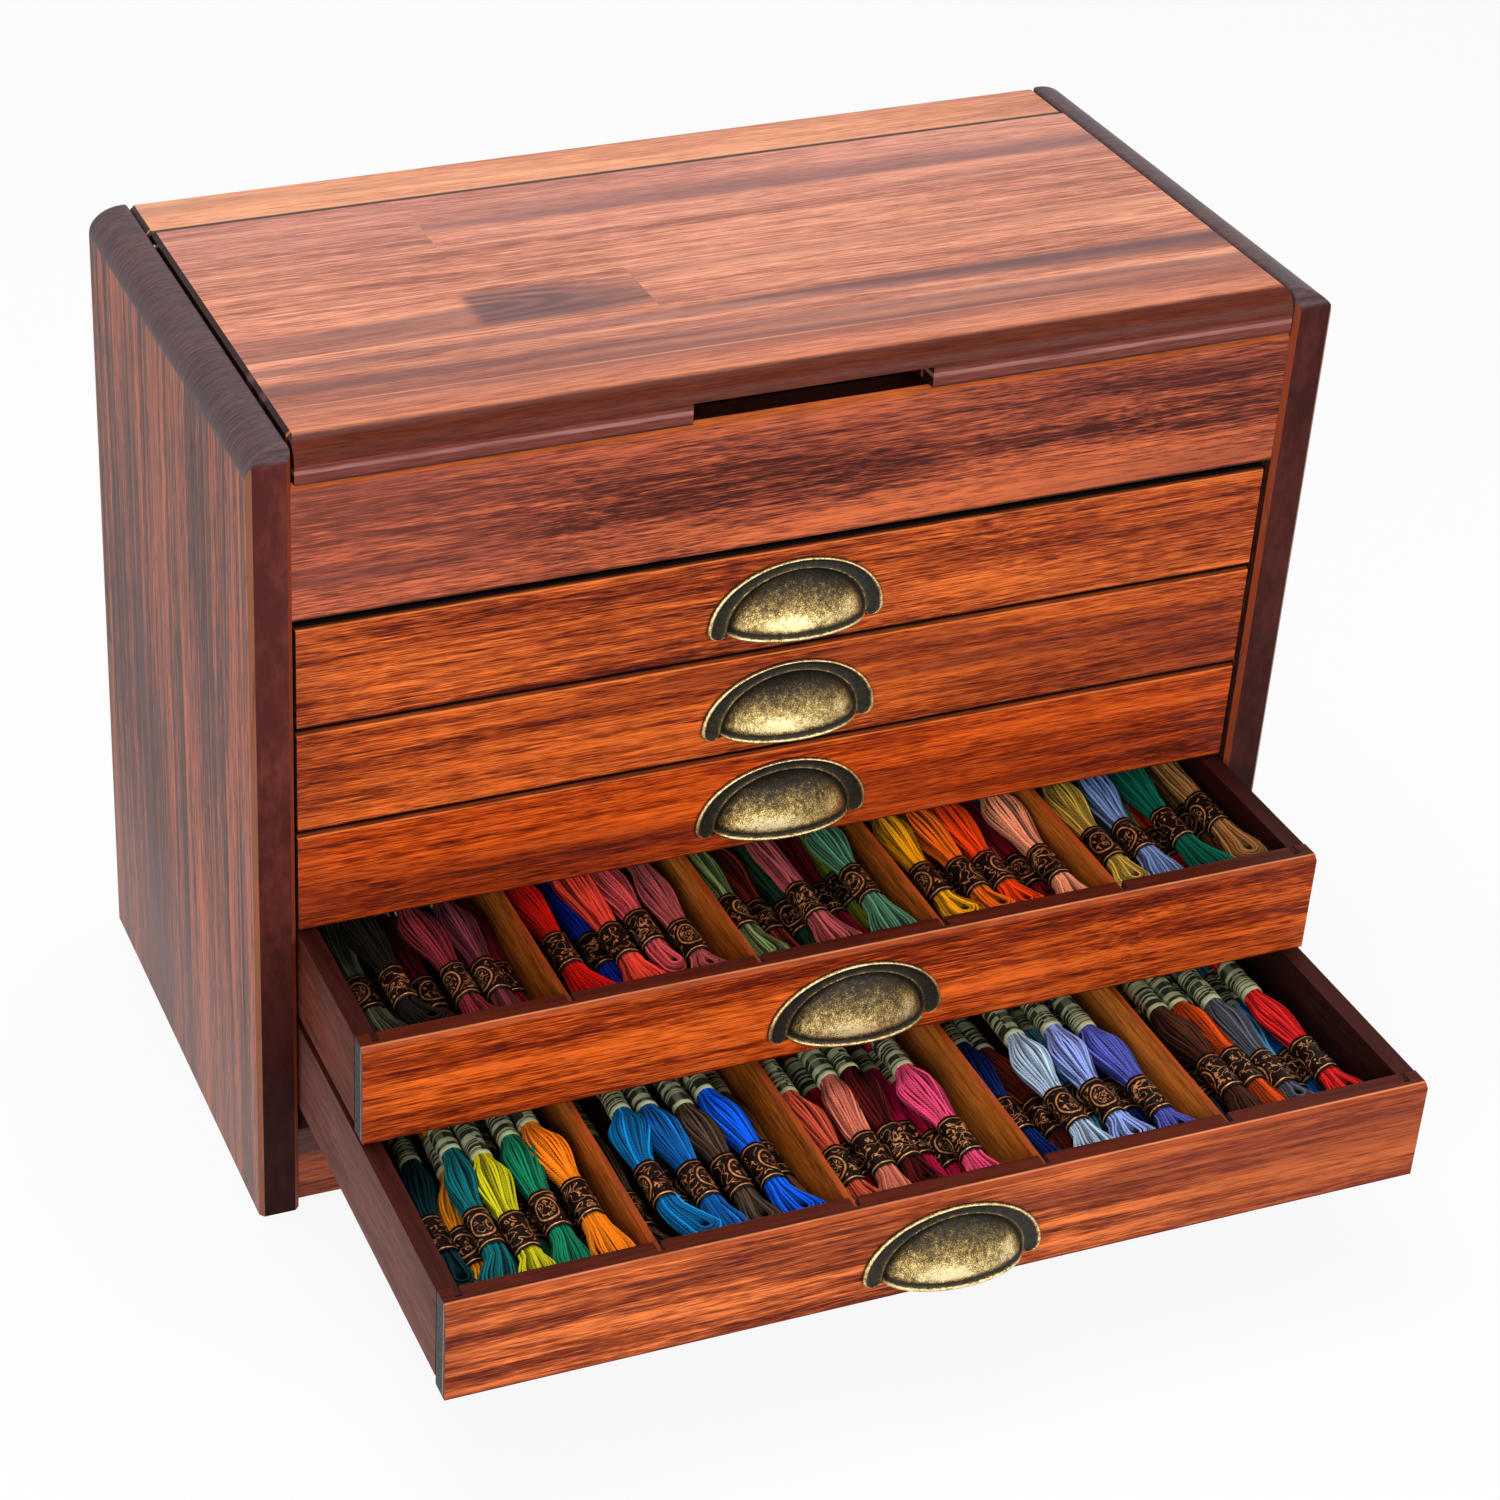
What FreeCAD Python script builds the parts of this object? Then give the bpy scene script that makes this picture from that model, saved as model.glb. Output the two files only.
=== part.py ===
"""Embroidery thread drawer box: a wooden case with a hinged lid over a shallow tray, and five drawers.

Units are millimetres. X runs to the right, Y to the back and Z up. The origin is the bottom centre of the
whole object as it stands, with the fourth and fifth drawers pulled out.
"""
import FreeCAD
import Part
import math
import os

Vector = FreeCAD.Vector

# ---------------------------------------------------------------- case
case_width = 500.0
case_depth = 251.0
side_thickness = 19.0
side_round_width = 16.0          # the elliptical round along the outer top edge
side_round_drop = 12.6
side_front_round = 9.0           # the round at the top of the front edge
side_inner_round = 2.0
side_outer_chamfer = 2.1
side_inner_bevel = 2.2
side_rear_bevel = 0.8

back_thickness = 6.0
back_inset = 2.0

base_lift = 3.3                  # the base rail and the bottom board stop short of the table
base_rail_height = 40.4
base_rail_thickness = 16.0
base_rail_recess = 3.0
base_rail_bevel = 1.0
bottom_thickness = 9.0

upper_front_height = 63.8
upper_front_thickness = 15.0
upper_front_recess = 2.3
upper_front_bevel = 2.8
tray_floor_thickness = 5.0

strip_width = 32.8
strip_thickness = 18.0
strip_end_bevel = 2.4
strip_undercut = 1.6             # the strip's front face is cut back so that the lid's edge can turn past it
strip_undercut_height = 3.5

# ---------------------------------------------------------------- lid
lid_thickness = 19.5
lid_front_inset = 0.9
lid_front_round = 10.0
lid_end_bevel = 1.8
lid_rear_round = 1.0
lid_end_gap = 1.3
lid_rear_gap = 1.2
lid_rest_gap = 0.3
lid_proud = 1.5                  # the lid's top stands this far above the side panels
notch_width = 110.8
notch_height = 9.8
notch_depth = 24.0
notch_corner_round = 14.0
pivot_inset = 5.5                # the pivot's distance from the lid's rear face and from its top face
pin_radius = 1.5
pin_in_side = 8.0
pin_in_lid = 14.0
pin_clearance = 0.05
pin_end_gap = 0.5

# ---------------------------------------------------------------- drawers
drawer_count = 5
drawer_front_height = 50.4
drawer_front_thickness = 10.8
drawer_front_bevel = 2.3
drawer_front_recess = 3.6
drawer_front_gap = 1.6           # between one front and the next
drawer_end_clearance = 2.0       # between a drawer and each side panel
drawer_back_clearance = 1.5
lowest_front_gap = 7.4           # between the base rail and the lowest front
highest_front_gap = 3.4          # between the highest front and the upper front panel
drawer_openings = (0.0, 0.0, 0.0, 88.9, 195.6)

board_thickness = 9.0            # drawer sides and drawer back
side_lip = 3.8                   # the front hangs this far below the drawer sides
side_drop = 0.7                  # the sides stop this far below the top of the front
side_shoulder_gap = 0.8
tongue_thickness = 3.0
tongue_length = 4.5
front_groove_depth = 6.0
groove_clearance = 0.15
drawer_bottom_thickness = 3.0
drawer_bottom_rise = 3.0
drawer_bottom_groove = 4.0
drawer_bottom_play = 0.5

divider_count = 4
divider_thickness = 3.0
divider_drop = 3.0
divider_tongue = 3.5

runner_width = 8.0
runner_height = 5.0
runner_clearance = 0.3
runner_front_gap = 0.5           # the ends of the runners stop a closing drawer

# ---------------------------------------------------------------- cup pulls
pull_half_width = 42.0
pull_lip_rise = 10.7             # from the bottom of the drawer front to the cup's lip
pull_spring_rise = 2.4           # from the lip up to the line where the flange's arch springs
pull_arch_height = 30.0          # the flange's arch above that line
pull_ear_drop = 1.6              # the ears hang this far below the lip
pull_flange_thickness = 2.0
ear_width = 11.5
ear_round = 3.9
cup_half_width = 32.0
cup_height = 27.2
cup_projection = 15.0
cup_wall = 1.6
lip_width = 1.0
lip_height = 1.6
boss_spacing = 64.0
boss_radius = 3.0
boss_length = 4.0
boss_clearance = 0.2
boss_floor = 1.0                 # flange left in front of the screw's blind hole
screw_radius = 1.5
screw_hole_clearance = 0.05
screw_reach = 4.0                # thread held in the boss
shank_clearance = 0.4
screw_head_radius = 3.0
screw_head_height = 2.0
slot_width = 0.9
slot_depth = 0.8

# ---------------------------------------------------------------- thread skeins
threaded_drawers = (4, 5)
skein_length = 150.0
skein_height = 15.8
skeins_across = 6
skein_layers = 2
skein_gap = 0.3
skein_front_gap = 2.6

# ---------------------------------------------------------------- sizes that follow
pull_projection = cup_projection + lip_width
front_reach = max(drawer_openings) - drawer_front_recess + pull_projection
case_back = (case_depth + front_reach) / 2.0
case_front = case_back - case_depth
outer_x = case_width / 2.0
inner_x = outer_x - side_thickness

base_rail_top = base_lift + base_rail_height
drawer_pitch = drawer_front_height + drawer_front_gap
lowest_front_bottom = base_rail_top + lowest_front_gap
drawers_top = lowest_front_bottom + drawer_count * drawer_pitch - drawer_front_gap
tray_bottom = drawers_top + highest_front_gap
upper_front_top = tray_bottom + upper_front_height
lid_bottom = upper_front_top + lid_rest_gap
lid_top = lid_bottom + lid_thickness
side_height = lid_top - lid_proud
strip_bottom = side_height - strip_thickness

back_rear = case_back - back_inset
back_front = back_rear - back_thickness
strip_front = back_rear - strip_width
lid_rear = strip_front - lid_rear_gap
lid_front = case_front + lid_front_inset
lid_half_width = inner_x - lid_end_gap
pivot_y = lid_rear - pivot_inset
pivot_z = lid_top - pivot_inset

front_plane = case_front + drawer_front_recess
front_rear_plane = front_plane + drawer_front_thickness
drawer_half_width = inner_x - drawer_end_clearance
drawer_inner_x = drawer_half_width - board_thickness
drawer_rear = back_front - drawer_back_clearance
board_height = drawer_front_height - side_lip - side_drop
cell_width = (2.0 * drawer_inner_x - divider_count * divider_thickness) / (divider_count + 1)
cell_pitch = cell_width + divider_thickness


# ---------------------------------------------------------------- helpers
straight_enough = 0.999          # the cosine between an edge and the axis that it is taken to run along
near_enough = 0.01               # how far an edge's middle may lie from the place it is looked for


def block(x0, x1, y0, y1, z0, z1):
    """A box between two corners."""
    return Part.makeBox(x1 - x0, y1 - y0, z1 - z0, Vector(x0, y0, z0))


def prism(corners, length):
    """A closed outline of corner points, pushed along a vector."""
    outline = Part.makePolygon(corners + [corners[0]])
    return Part.Face(outline).extrude(length)


def mirrored(shape):
    """The same piece on the other side of the X = 0 plane."""
    return shape.mirror(Vector(0, 0, 0), Vector(1, 0, 0))


def rod(radius, length, start, direction):
    """A round bar."""
    return Part.makeCylinder(radius, length, start, direction)


def along(shape, axis):
    """The straight edges of a shape that run along an axis."""
    found = []
    for edge in shape.Edges:
        if isinstance(edge.Curve, Part.Line) and abs(edge.Curve.Direction.dot(axis)) > straight_enough:
            found.append(edge)
    return found


def edges_at(shape, axis, **place):
    """Edges along an axis whose middle lies at the given x, y or z."""
    chosen = []
    for edge in along(shape, axis):
        middle = edge.CenterOfMass
        if all(abs(getattr(middle, name) - value) < near_enough for name, value in place.items()):
            chosen.append(edge)
    return chosen


X_AXIS = Vector(1, 0, 0)
Y_AXIS = Vector(0, 1, 0)
Z_AXIS = Vector(0, 0, 1)


# ---------------------------------------------------------------- case pieces
def side_section():
    """The left side panel seen from the front: an elliptical outer top and a small inner round."""
    spring_z = side_height - side_round_drop
    crown_x = -outer_x + side_round_width
    ellipse = Part.Ellipse(Vector(-outer_x, 0, spring_z), Vector(crown_x, 0, side_height),
                           Vector(crown_x, 0, spring_z))
    crown = Part.ArcOfEllipse(ellipse, 0, math.pi / 2).toShape()
    round_centre = Vector(-inner_x - side_inner_round, 0, side_height - side_inner_round)
    half = side_inner_round * math.sqrt(0.5)
    inner_round = Part.Arc(Vector(round_centre.x, 0, side_height),
                           round_centre + Vector(half, 0, half),
                           Vector(-inner_x, 0, round_centre.z)).toShape()
    edges = [
        crown,
        Part.makeLine(Vector(crown_x, 0, side_height), Vector(round_centre.x, 0, side_height)),
        inner_round,
        Part.makeLine(Vector(-inner_x, 0, round_centre.z), Vector(-inner_x, 0, 0)),
        Part.makeLine(Vector(-inner_x, 0, 0), Vector(-outer_x, 0, 0)),
        Part.makeLine(Vector(-outer_x, 0, 0), Vector(-outer_x, 0, spring_z)),
    ]
    return Part.Face(Part.Wire(edges))


def side_profile():
    """The left side panel seen from its side: a rectangle with a rounded top front corner."""
    x = -outer_x
    centre = Vector(x, case_front + side_front_round, side_height - side_front_round)
    half = side_front_round * math.sqrt(0.5)
    corner = Part.Arc(Vector(x, case_front, centre.z), centre + Vector(0, -half, half),
                      Vector(x, centre.y, side_height)).toShape()
    edges = [
        corner,
        Part.makeLine(Vector(x, centre.y, side_height), Vector(x, case_back, side_height)),
        Part.makeLine(Vector(x, case_back, side_height), Vector(x, case_back, 0)),
        Part.makeLine(Vector(x, case_back, 0), Vector(x, case_front, 0)),
        Part.makeLine(Vector(x, case_front, 0), Vector(x, case_front, centre.z)),
    ]
    return Part.Face(Part.Wire(edges))


def side_panel():
    """The left side panel, with the blind hole for the lid's pivot pin."""
    section = side_section()
    section.translate(Vector(0, case_front, 0))
    lengthwise = section.extrude(Vector(0, case_depth, 0))
    crosswise = side_profile().extrude(Vector(side_thickness, 0, 0))
    plan = prism([
        Vector(-outer_x, case_front + side_outer_chamfer, 0),
        Vector(-outer_x + side_outer_chamfer, case_front, 0),
        Vector(-inner_x - side_inner_bevel, case_front, 0),
        Vector(-inner_x, case_front + side_inner_bevel, 0),
        Vector(-inner_x, case_back - side_rear_bevel, 0),
        Vector(-inner_x - side_rear_bevel, case_back, 0),
        Vector(-outer_x + side_rear_bevel, case_back, 0),
        Vector(-outer_x, case_back - side_rear_bevel, 0),
    ], Vector(0, 0, side_height))
    panel = lengthwise.common(crosswise).common(plan)
    hole_depth = pin_in_side + pin_end_gap
    hole = rod(pin_radius + pin_clearance, hole_depth, Vector(-inner_x - hole_depth, pivot_y, pivot_z), X_AXIS)
    return panel.cut(hole)


def back_panel():
    return block(-inner_x, inner_x, back_front, back_rear, base_lift, strip_bottom)


def base_front_rail():
    """The plinth rail under the lowest drawer, set back from the side panels."""
    front = case_front + base_rail_recess
    rail = block(-inner_x, inner_x, front, front + base_rail_thickness, base_lift, base_rail_top)
    return rail.makeChamfer(base_rail_bevel, edges_at(rail, X_AXIS, y=front))


def bottom_panel():
    rail_rear = case_front + base_rail_recess + base_rail_thickness
    return block(-inner_x, inner_x, rail_rear, back_front, base_rail_top - bottom_thickness, base_rail_top)


def upper_front_panel():
    """The fixed board between the highest drawer and the lid, with a bevelled top edge."""
    front = case_front + upper_front_recess
    board = block(-inner_x, inner_x, front, front + upper_front_thickness, tray_bottom, upper_front_top)
    return board.makeChamfer(upper_front_bevel, edges_at(board, X_AXIS, y=front, z=upper_front_top))


def tray_floor():
    """The floor of the shallow tray under the lid."""
    front = case_front + upper_front_recess + upper_front_thickness
    return block(-inner_x, inner_x, front, back_front, tray_bottom, tray_bottom + tray_floor_thickness)


def rear_top_strip():
    """The fixed board behind the lid, with bevelled ends and an undercut front face."""
    under = side_height - strip_undercut_height
    board = prism([
        Vector(-inner_x, strip_front, side_height),
        Vector(-inner_x, strip_front + strip_undercut, under),
        Vector(-inner_x, strip_front + strip_undercut, strip_bottom),
        Vector(-inner_x, back_rear, strip_bottom),
        Vector(-inner_x, back_rear, side_height),
    ], Vector(2.0 * inner_x, 0, 0))
    ends = edges_at(board, Y_AXIS, x=-inner_x, z=side_height) + edges_at(board, Y_AXIS, x=inner_x, z=side_height)
    return board.makeChamfer(strip_end_bevel, ends)


def runner_top(index):
    """The top of the runners that carry drawer number index, counted from the top."""
    return front_bottom(index) + side_lip - runner_clearance


def runners():
    """The strips on the left side panel that the drawers slide on."""
    strips = []
    front = front_rear_plane + runner_front_gap
    for index in range(1, drawer_count + 1):
        top = runner_top(index)
        strips.append(block(-inner_x, -inner_x + runner_width, front, back_front, top - runner_height, top))
    return Part.makeCompound(strips)


# ---------------------------------------------------------------- lid pieces
def lid_notch():
    """The finger notch cut up into the lid from its lower front edge, with rounded inner corners."""
    half = notch_width / 2.0
    inside = lid_front + notch_depth
    start = lid_front - lid_front_round
    notch = block(-half, half, start, inside, lid_bottom - lid_thickness, lid_bottom + notch_height)
    return notch.makeFillet(notch_corner_round, edges_at(notch, Z_AXIS, y=inside))


def lid_panel():
    """The lid: one thick board with a rounded front edge and blind holes for the pivot pins."""
    board = block(-lid_half_width, lid_half_width, lid_front, lid_rear, lid_bottom, lid_top)
    board = board.makeFillet(lid_front_round, edges_at(board, X_AXIS, y=lid_front, z=lid_top))
    board = board.makeFillet(lid_rear_round, edges_at(board, X_AXIS, y=lid_rear, z=lid_top))
    bevelled_ends = prism([
        Vector(-lid_half_width, lid_front, lid_bottom),
        Vector(-lid_half_width, lid_front, lid_top - lid_end_bevel),
        Vector(-lid_half_width + lid_end_bevel, lid_front, lid_top),
        Vector(lid_half_width - lid_end_bevel, lid_front, lid_top),
        Vector(lid_half_width, lid_front, lid_top - lid_end_bevel),
        Vector(lid_half_width, lid_front, lid_bottom),
    ], Vector(0, lid_rear - lid_front, 0))
    board = board.common(bevelled_ends).cut(lid_notch())
    hole_depth = pin_in_lid + pin_end_gap
    hole = rod(pin_radius + pin_clearance, hole_depth, Vector(-lid_half_width, pivot_y, pivot_z), X_AXIS)
    return board.cut(hole).cut(mirrored(hole))


def pivot_pins():
    """A steel pin at each end of the lid, fixed in the side panel."""
    length = pin_in_side + lid_end_gap + pin_in_lid
    pin = rod(pin_radius, length, Vector(-inner_x - pin_in_side, pivot_y, pivot_z), X_AXIS)
    return Part.makeCompound([pin, mirrored(pin)])


# ---------------------------------------------------------------- drawer pieces
def front_bottom(index):
    """The bottom of the front of drawer number index, counted from the top."""
    return lowest_front_bottom + (drawer_count - index) * drawer_pitch


def divider_places():
    """The middle of each divider, from left to right."""
    first = -drawer_inner_x + cell_width + divider_thickness / 2.0
    return [first + number * cell_pitch for number in range(divider_count)]


def drawer_front(index):
    """A drawer front: bevelled top, grooves for the sides, the dividers and the bottom, holes for the pull."""
    low = front_bottom(index)
    high = low + drawer_front_height
    board = block(-drawer_half_width, drawer_half_width, front_plane, front_rear_plane, low, high)
    board = board.makeChamfer(drawer_front_bevel, edges_at(board, X_AXIS, y=front_plane, z=high))
    groove_start = front_rear_plane - front_groove_depth
    grooves = []
    for sign in (-1, 1):
        inner = sign * (drawer_inner_x - groove_clearance)
        outer = sign * (drawer_inner_x + tongue_thickness + groove_clearance)
        grooves.append(block(min(inner, outer), max(inner, outer), groove_start, front_rear_plane, low, high))
    half = divider_thickness / 2.0 + groove_clearance
    floor_low = low + side_lip + drawer_bottom_rise
    for place in divider_places():
        grooves.append(block(place - half, place + half, groove_start, front_rear_plane, floor_low, high))
    floor_reach = drawer_inner_x + drawer_bottom_groove
    grooves.append(block(-floor_reach, floor_reach, front_rear_plane - drawer_bottom_groove, front_rear_plane,
                         floor_low, floor_low + drawer_bottom_thickness))
    for groove in grooves:
        board = board.cut(groove)
    for sign in (-1, 1):
        start = Vector(sign * boss_spacing / 2.0, front_plane, boss_height(index))
        board = board.cut(rod(screw_radius + shank_clearance, drawer_front_thickness, start, Y_AXIS))
        board = board.cut(rod(boss_radius + boss_clearance, boss_length + boss_clearance, start, Y_AXIS))
    return board


def drawer_side(index):
    """The left side of a drawer, with the tongue that enters the front and the groove for the bottom."""
    low = front_bottom(index) + side_lip
    high = low + board_height
    tongue_x = -drawer_inner_x - tongue_thickness
    body = block(-drawer_half_width, -drawer_inner_x, front_rear_plane + side_shoulder_gap, drawer_rear, low, high)
    tongue = block(tongue_x, -drawer_inner_x, front_rear_plane - tongue_length,
                   front_rear_plane + side_shoulder_gap, low, high)
    groove_low = low + drawer_bottom_rise
    groove = block(-drawer_inner_x - drawer_bottom_groove, -drawer_inner_x,
                   front_rear_plane - tongue_length, drawer_rear, groove_low, groove_low + drawer_bottom_thickness)
    return body.fuse(tongue).removeSplitter().cut(groove)


def drawer_back(index):
    """The back of a drawer, between its sides, grooved for the dividers and for the bottom."""
    low = front_bottom(index) + side_lip
    front = drawer_rear - board_thickness
    board = block(-drawer_inner_x, drawer_inner_x, front, drawer_rear, low, low + board_height)
    floor_low = low + drawer_bottom_rise
    board = board.cut(block(-drawer_inner_x, drawer_inner_x, front, front + drawer_bottom_groove,
                            floor_low, floor_low + drawer_bottom_thickness))
    half = divider_thickness / 2.0 + groove_clearance
    depth = divider_tongue + drawer_bottom_play
    for place in divider_places():
        board = board.cut(block(place - half, place + half, front, front + depth, floor_low, low + board_height))
    return board


def drawer_bottom(index):
    """The thin bottom of a drawer, held in grooves all round."""
    reach = drawer_bottom_groove - drawer_bottom_play
    low = front_bottom(index) + side_lip + drawer_bottom_rise
    return block(-drawer_inner_x - reach, drawer_inner_x + reach, front_rear_plane - reach,
                 drawer_rear - board_thickness + reach, low, low + drawer_bottom_thickness)


def drawer_floor(index):
    """The height of the upper face of a drawer's bottom."""
    return front_bottom(index) + side_lip + drawer_bottom_rise + drawer_bottom_thickness


def drawer_dividers(index):
    """The dividers of a drawer: thin boards that slide down into grooves in the front and the back."""
    low = drawer_floor(index)
    high = front_bottom(index) + drawer_front_height - divider_drop
    boards = []
    for place in divider_places():
        boards.append(block(place - divider_thickness / 2.0, place + divider_thickness / 2.0,
                            front_rear_plane - divider_tongue,
                            drawer_rear - board_thickness + divider_tongue, low, high))
    return Part.makeCompound(boards)


# ---------------------------------------------------------------- cup pulls
def lip_height_of(index):
    """The height of the lip of the pull on drawer number index."""
    return front_bottom(index) + pull_lip_rise


def boss_height(index):
    """The height of the pull's two screws, on the line where the flange's arch springs."""
    return lip_height_of(index) + pull_spring_rise


def half_ellipse_face(half_width, height):
    """The upper half of an ellipse round the origin, standing in the XZ plane."""
    if half_width > height:
        ellipse = Part.Ellipse(Vector(half_width, 0, 0), Vector(0, 0, height), Vector(0, 0, 0))
        arc = Part.ArcOfEllipse(ellipse, 0, math.pi).toShape()
    else:
        ellipse = Part.Ellipse(Vector(0, 0, height), Vector(half_width, 0, 0), Vector(0, 0, 0))
        arc = Part.ArcOfEllipse(ellipse, -math.pi / 2, math.pi / 2).toShape()
    ends = [vertex.Point for vertex in arc.Vertexes]
    return Part.Face(Part.Wire([arc, Part.makeLine(ends[1], ends[0])]))


def quarter_ellipsoid(half_width, projection, height):
    """The part of an ellipsoid in front of Y = 0 and above Z = 0."""
    ball = Part.makeSphere(1.0)
    stretch = FreeCAD.Matrix()
    stretch.A11 = half_width
    stretch.A22 = projection
    stretch.A33 = height
    stretched = ball.transformGeometry(stretch)
    return stretched.common(block(-half_width, half_width, -projection, 0, 0, height))


def pull_flange():
    """The flat arched flange: a half ellipse with a rounded ear hanging at each end."""
    arch = half_ellipse_face(pull_half_width, pull_arch_height)
    flange = arch.extrude(Vector(0, -pull_flange_thickness, 0))
    flange.translate(Vector(0, 0, pull_spring_rise))
    ear = block(-pull_half_width, -pull_half_width + ear_width, -pull_flange_thickness, 0,
                -pull_ear_drop, pull_spring_rise)
    ear = ear.makeFillet(ear_round, edges_at(ear, Y_AXIS, z=-pull_ear_drop))
    return flange.fuse([ear, mirrored(ear)]).removeSplitter()


def cup_pull():
    """A cast cup pull with its lip at the origin: flange, hollow cup open at the bottom, rolled lip, two bosses."""
    cup = quarter_ellipsoid(cup_half_width, cup_projection, cup_height)
    lip = quarter_ellipsoid(cup_half_width + lip_width, pull_projection, cup_height + lip_width)
    lip = lip.common(block(-pull_half_width, pull_half_width, -pull_projection, 0, 0, lip_height))
    body = pull_flange().fuse([cup, lip]).removeSplitter()
    hollow = quarter_ellipsoid(cup_half_width - cup_wall, cup_projection - cup_wall, cup_height - cup_wall)
    body = body.cut(hollow)
    left_boss = Vector(-boss_spacing / 2.0, 0, pull_spring_rise)
    right_boss = Vector(boss_spacing / 2.0, 0, pull_spring_rise)
    for place in (left_boss, right_boss):
        body = body.fuse(rod(boss_radius, boss_length, place, Y_AXIS))
    hole_radius = screw_radius + screw_hole_clearance
    hole_length = boss_length + pull_flange_thickness - boss_floor
    for place in (left_boss, right_boss):
        start = place + Vector(0, boss_floor - pull_flange_thickness, 0)
        body = body.cut(rod(hole_radius, hole_length, start, Y_AXIS))
    return body.removeSplitter()


def pull_screws():
    """Two slotted screws, driven from inside the drawer into the bosses of a pull at the origin."""
    shank_start = boss_length - screw_reach
    screws = []
    for sign in (-1, 1):
        x = sign * boss_spacing / 2.0
        z = pull_spring_rise
        shank = rod(screw_radius, drawer_front_thickness - shank_start, Vector(x, shank_start, z), Y_AXIS)
        head = rod(screw_head_radius, screw_head_height, Vector(x, drawer_front_thickness, z), Y_AXIS)
        head_end = drawer_front_thickness + screw_head_height
        slot = block(x - screw_head_radius, x + screw_head_radius, head_end - slot_depth, head_end,
                     z - slot_width / 2.0, z + slot_width / 2.0)
        screws.append(shank.fuse(head).removeSplitter().cut(slot))
    return Part.makeCompound(screws)


# ---------------------------------------------------------------- thread skeins
def skein_section(width, height):
    """An elliptical face in the XZ plane round the origin."""
    if width > height:
        ellipse = Part.Ellipse(Vector(width / 2.0, 0, 0), Vector(0, 0, height / 2.0), Vector(0, 0, 0))
    else:
        ellipse = Part.Ellipse(Vector(0, 0, height / 2.0), Vector(width / 2.0, 0, 0), Vector(0, 0, 0))
    return Part.Face(Part.Wire([ellipse.toShape()]))


def drawer_threads(index):
    """The skeins in a drawer: side by side in every cell, in layers, each one soft and separate."""
    width = (cell_width - (skeins_across + 1) * skein_gap) / skeins_across
    front = front_rear_plane + skein_front_gap
    skeins = []
    for cell in range(divider_count + 1):
        cell_left = -drawer_inner_x + cell * cell_pitch
        for layer in range(skein_layers):
            z = drawer_floor(index) + skein_gap + skein_height / 2.0 + layer * (skein_height + skein_gap)
            for number in range(skeins_across):
                x = cell_left + skein_gap + width / 2.0 + number * (width + skein_gap)
                skein = skein_section(width, skein_height).extrude(Vector(0, skein_length, 0))
                skein.translate(Vector(x, front, z))
                skeins.append(skein)
    return Part.makeCompound(skeins)


# ---------------------------------------------------------------- assembly
def case_nodes():
    left_side = side_panel()
    left_runners = runners()
    return {
        "left_side_panel": left_side,
        "right_side_panel": mirrored(left_side),
        "back_panel": back_panel(),
        "bottom_panel": bottom_panel(),
        "base_front_rail": base_front_rail(),
        "upper_front_panel": upper_front_panel(),
        "tray_floor": tray_floor(),
        "rear_top_strip": rear_top_strip(),
        "left_runners": left_runners,
        "right_runners": mirrored(left_runners),
        "lid_panel": lid_panel(),
        "lid_pivot_pins": pivot_pins(),
    }


def drawer_nodes(index, pull, screws):
    """Every piece of one drawer, at the distance that it is pulled out."""
    left = drawer_side(index)
    pull_place = Vector(0, front_plane, lip_height_of(index))
    placed_pull = pull.copy()
    placed_pull.translate(pull_place)
    placed_screws = screws.copy()
    placed_screws.translate(pull_place)
    pieces = {
        "front": drawer_front(index),
        "left_side": left,
        "right_side": mirrored(left),
        "back": drawer_back(index),
        "bottom": drawer_bottom(index),
        "dividers": drawer_dividers(index),
        "pull": placed_pull,
        "pull_screws": placed_screws,
    }
    if index in threaded_drawers:
        pieces["threads"] = drawer_threads(index)
    opening = Vector(0, -drawer_openings[index - 1], 0)
    nodes = {}
    for name, shape in pieces.items():
        shape.translate(opening)
        nodes["drawer_%d_%s" % (index, name)] = shape
    return nodes


def main():
    os.makedirs("parts", exist_ok=True)
    nodes = case_nodes()
    pull = cup_pull()
    screws = pull_screws()
    for index in range(1, drawer_count + 1):
        nodes.update(drawer_nodes(index, pull, screws))
    for name, shape in nodes.items():
        shape.exportStep("parts/%s.step" % name)


main()
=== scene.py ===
"""Looks of the embroidery thread drawer box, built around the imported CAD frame."""

import math

import bpy
import numpy as np
from mathutils import Matrix, Vector


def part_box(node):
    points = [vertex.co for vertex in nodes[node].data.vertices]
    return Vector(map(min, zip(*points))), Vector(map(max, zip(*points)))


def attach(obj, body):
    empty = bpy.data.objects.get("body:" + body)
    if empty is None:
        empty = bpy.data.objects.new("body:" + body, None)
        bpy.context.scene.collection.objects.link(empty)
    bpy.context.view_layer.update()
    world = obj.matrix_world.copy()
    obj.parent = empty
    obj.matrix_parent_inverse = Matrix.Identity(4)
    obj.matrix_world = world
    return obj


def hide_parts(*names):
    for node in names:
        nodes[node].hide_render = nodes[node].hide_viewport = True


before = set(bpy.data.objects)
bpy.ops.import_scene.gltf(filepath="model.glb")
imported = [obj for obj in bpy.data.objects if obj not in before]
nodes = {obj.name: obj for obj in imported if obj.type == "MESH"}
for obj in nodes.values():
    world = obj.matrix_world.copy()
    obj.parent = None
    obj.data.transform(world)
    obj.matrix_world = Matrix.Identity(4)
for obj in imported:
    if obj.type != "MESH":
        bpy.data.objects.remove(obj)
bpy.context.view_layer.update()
scene = bpy.context.scene

DRAWERS = (1, 2, 3, 4, 5)  # from the top
OPEN_DRAWERS = (4, 5)  # the two that stand open in the photograph and hold thread
MM = 0.001

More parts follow.
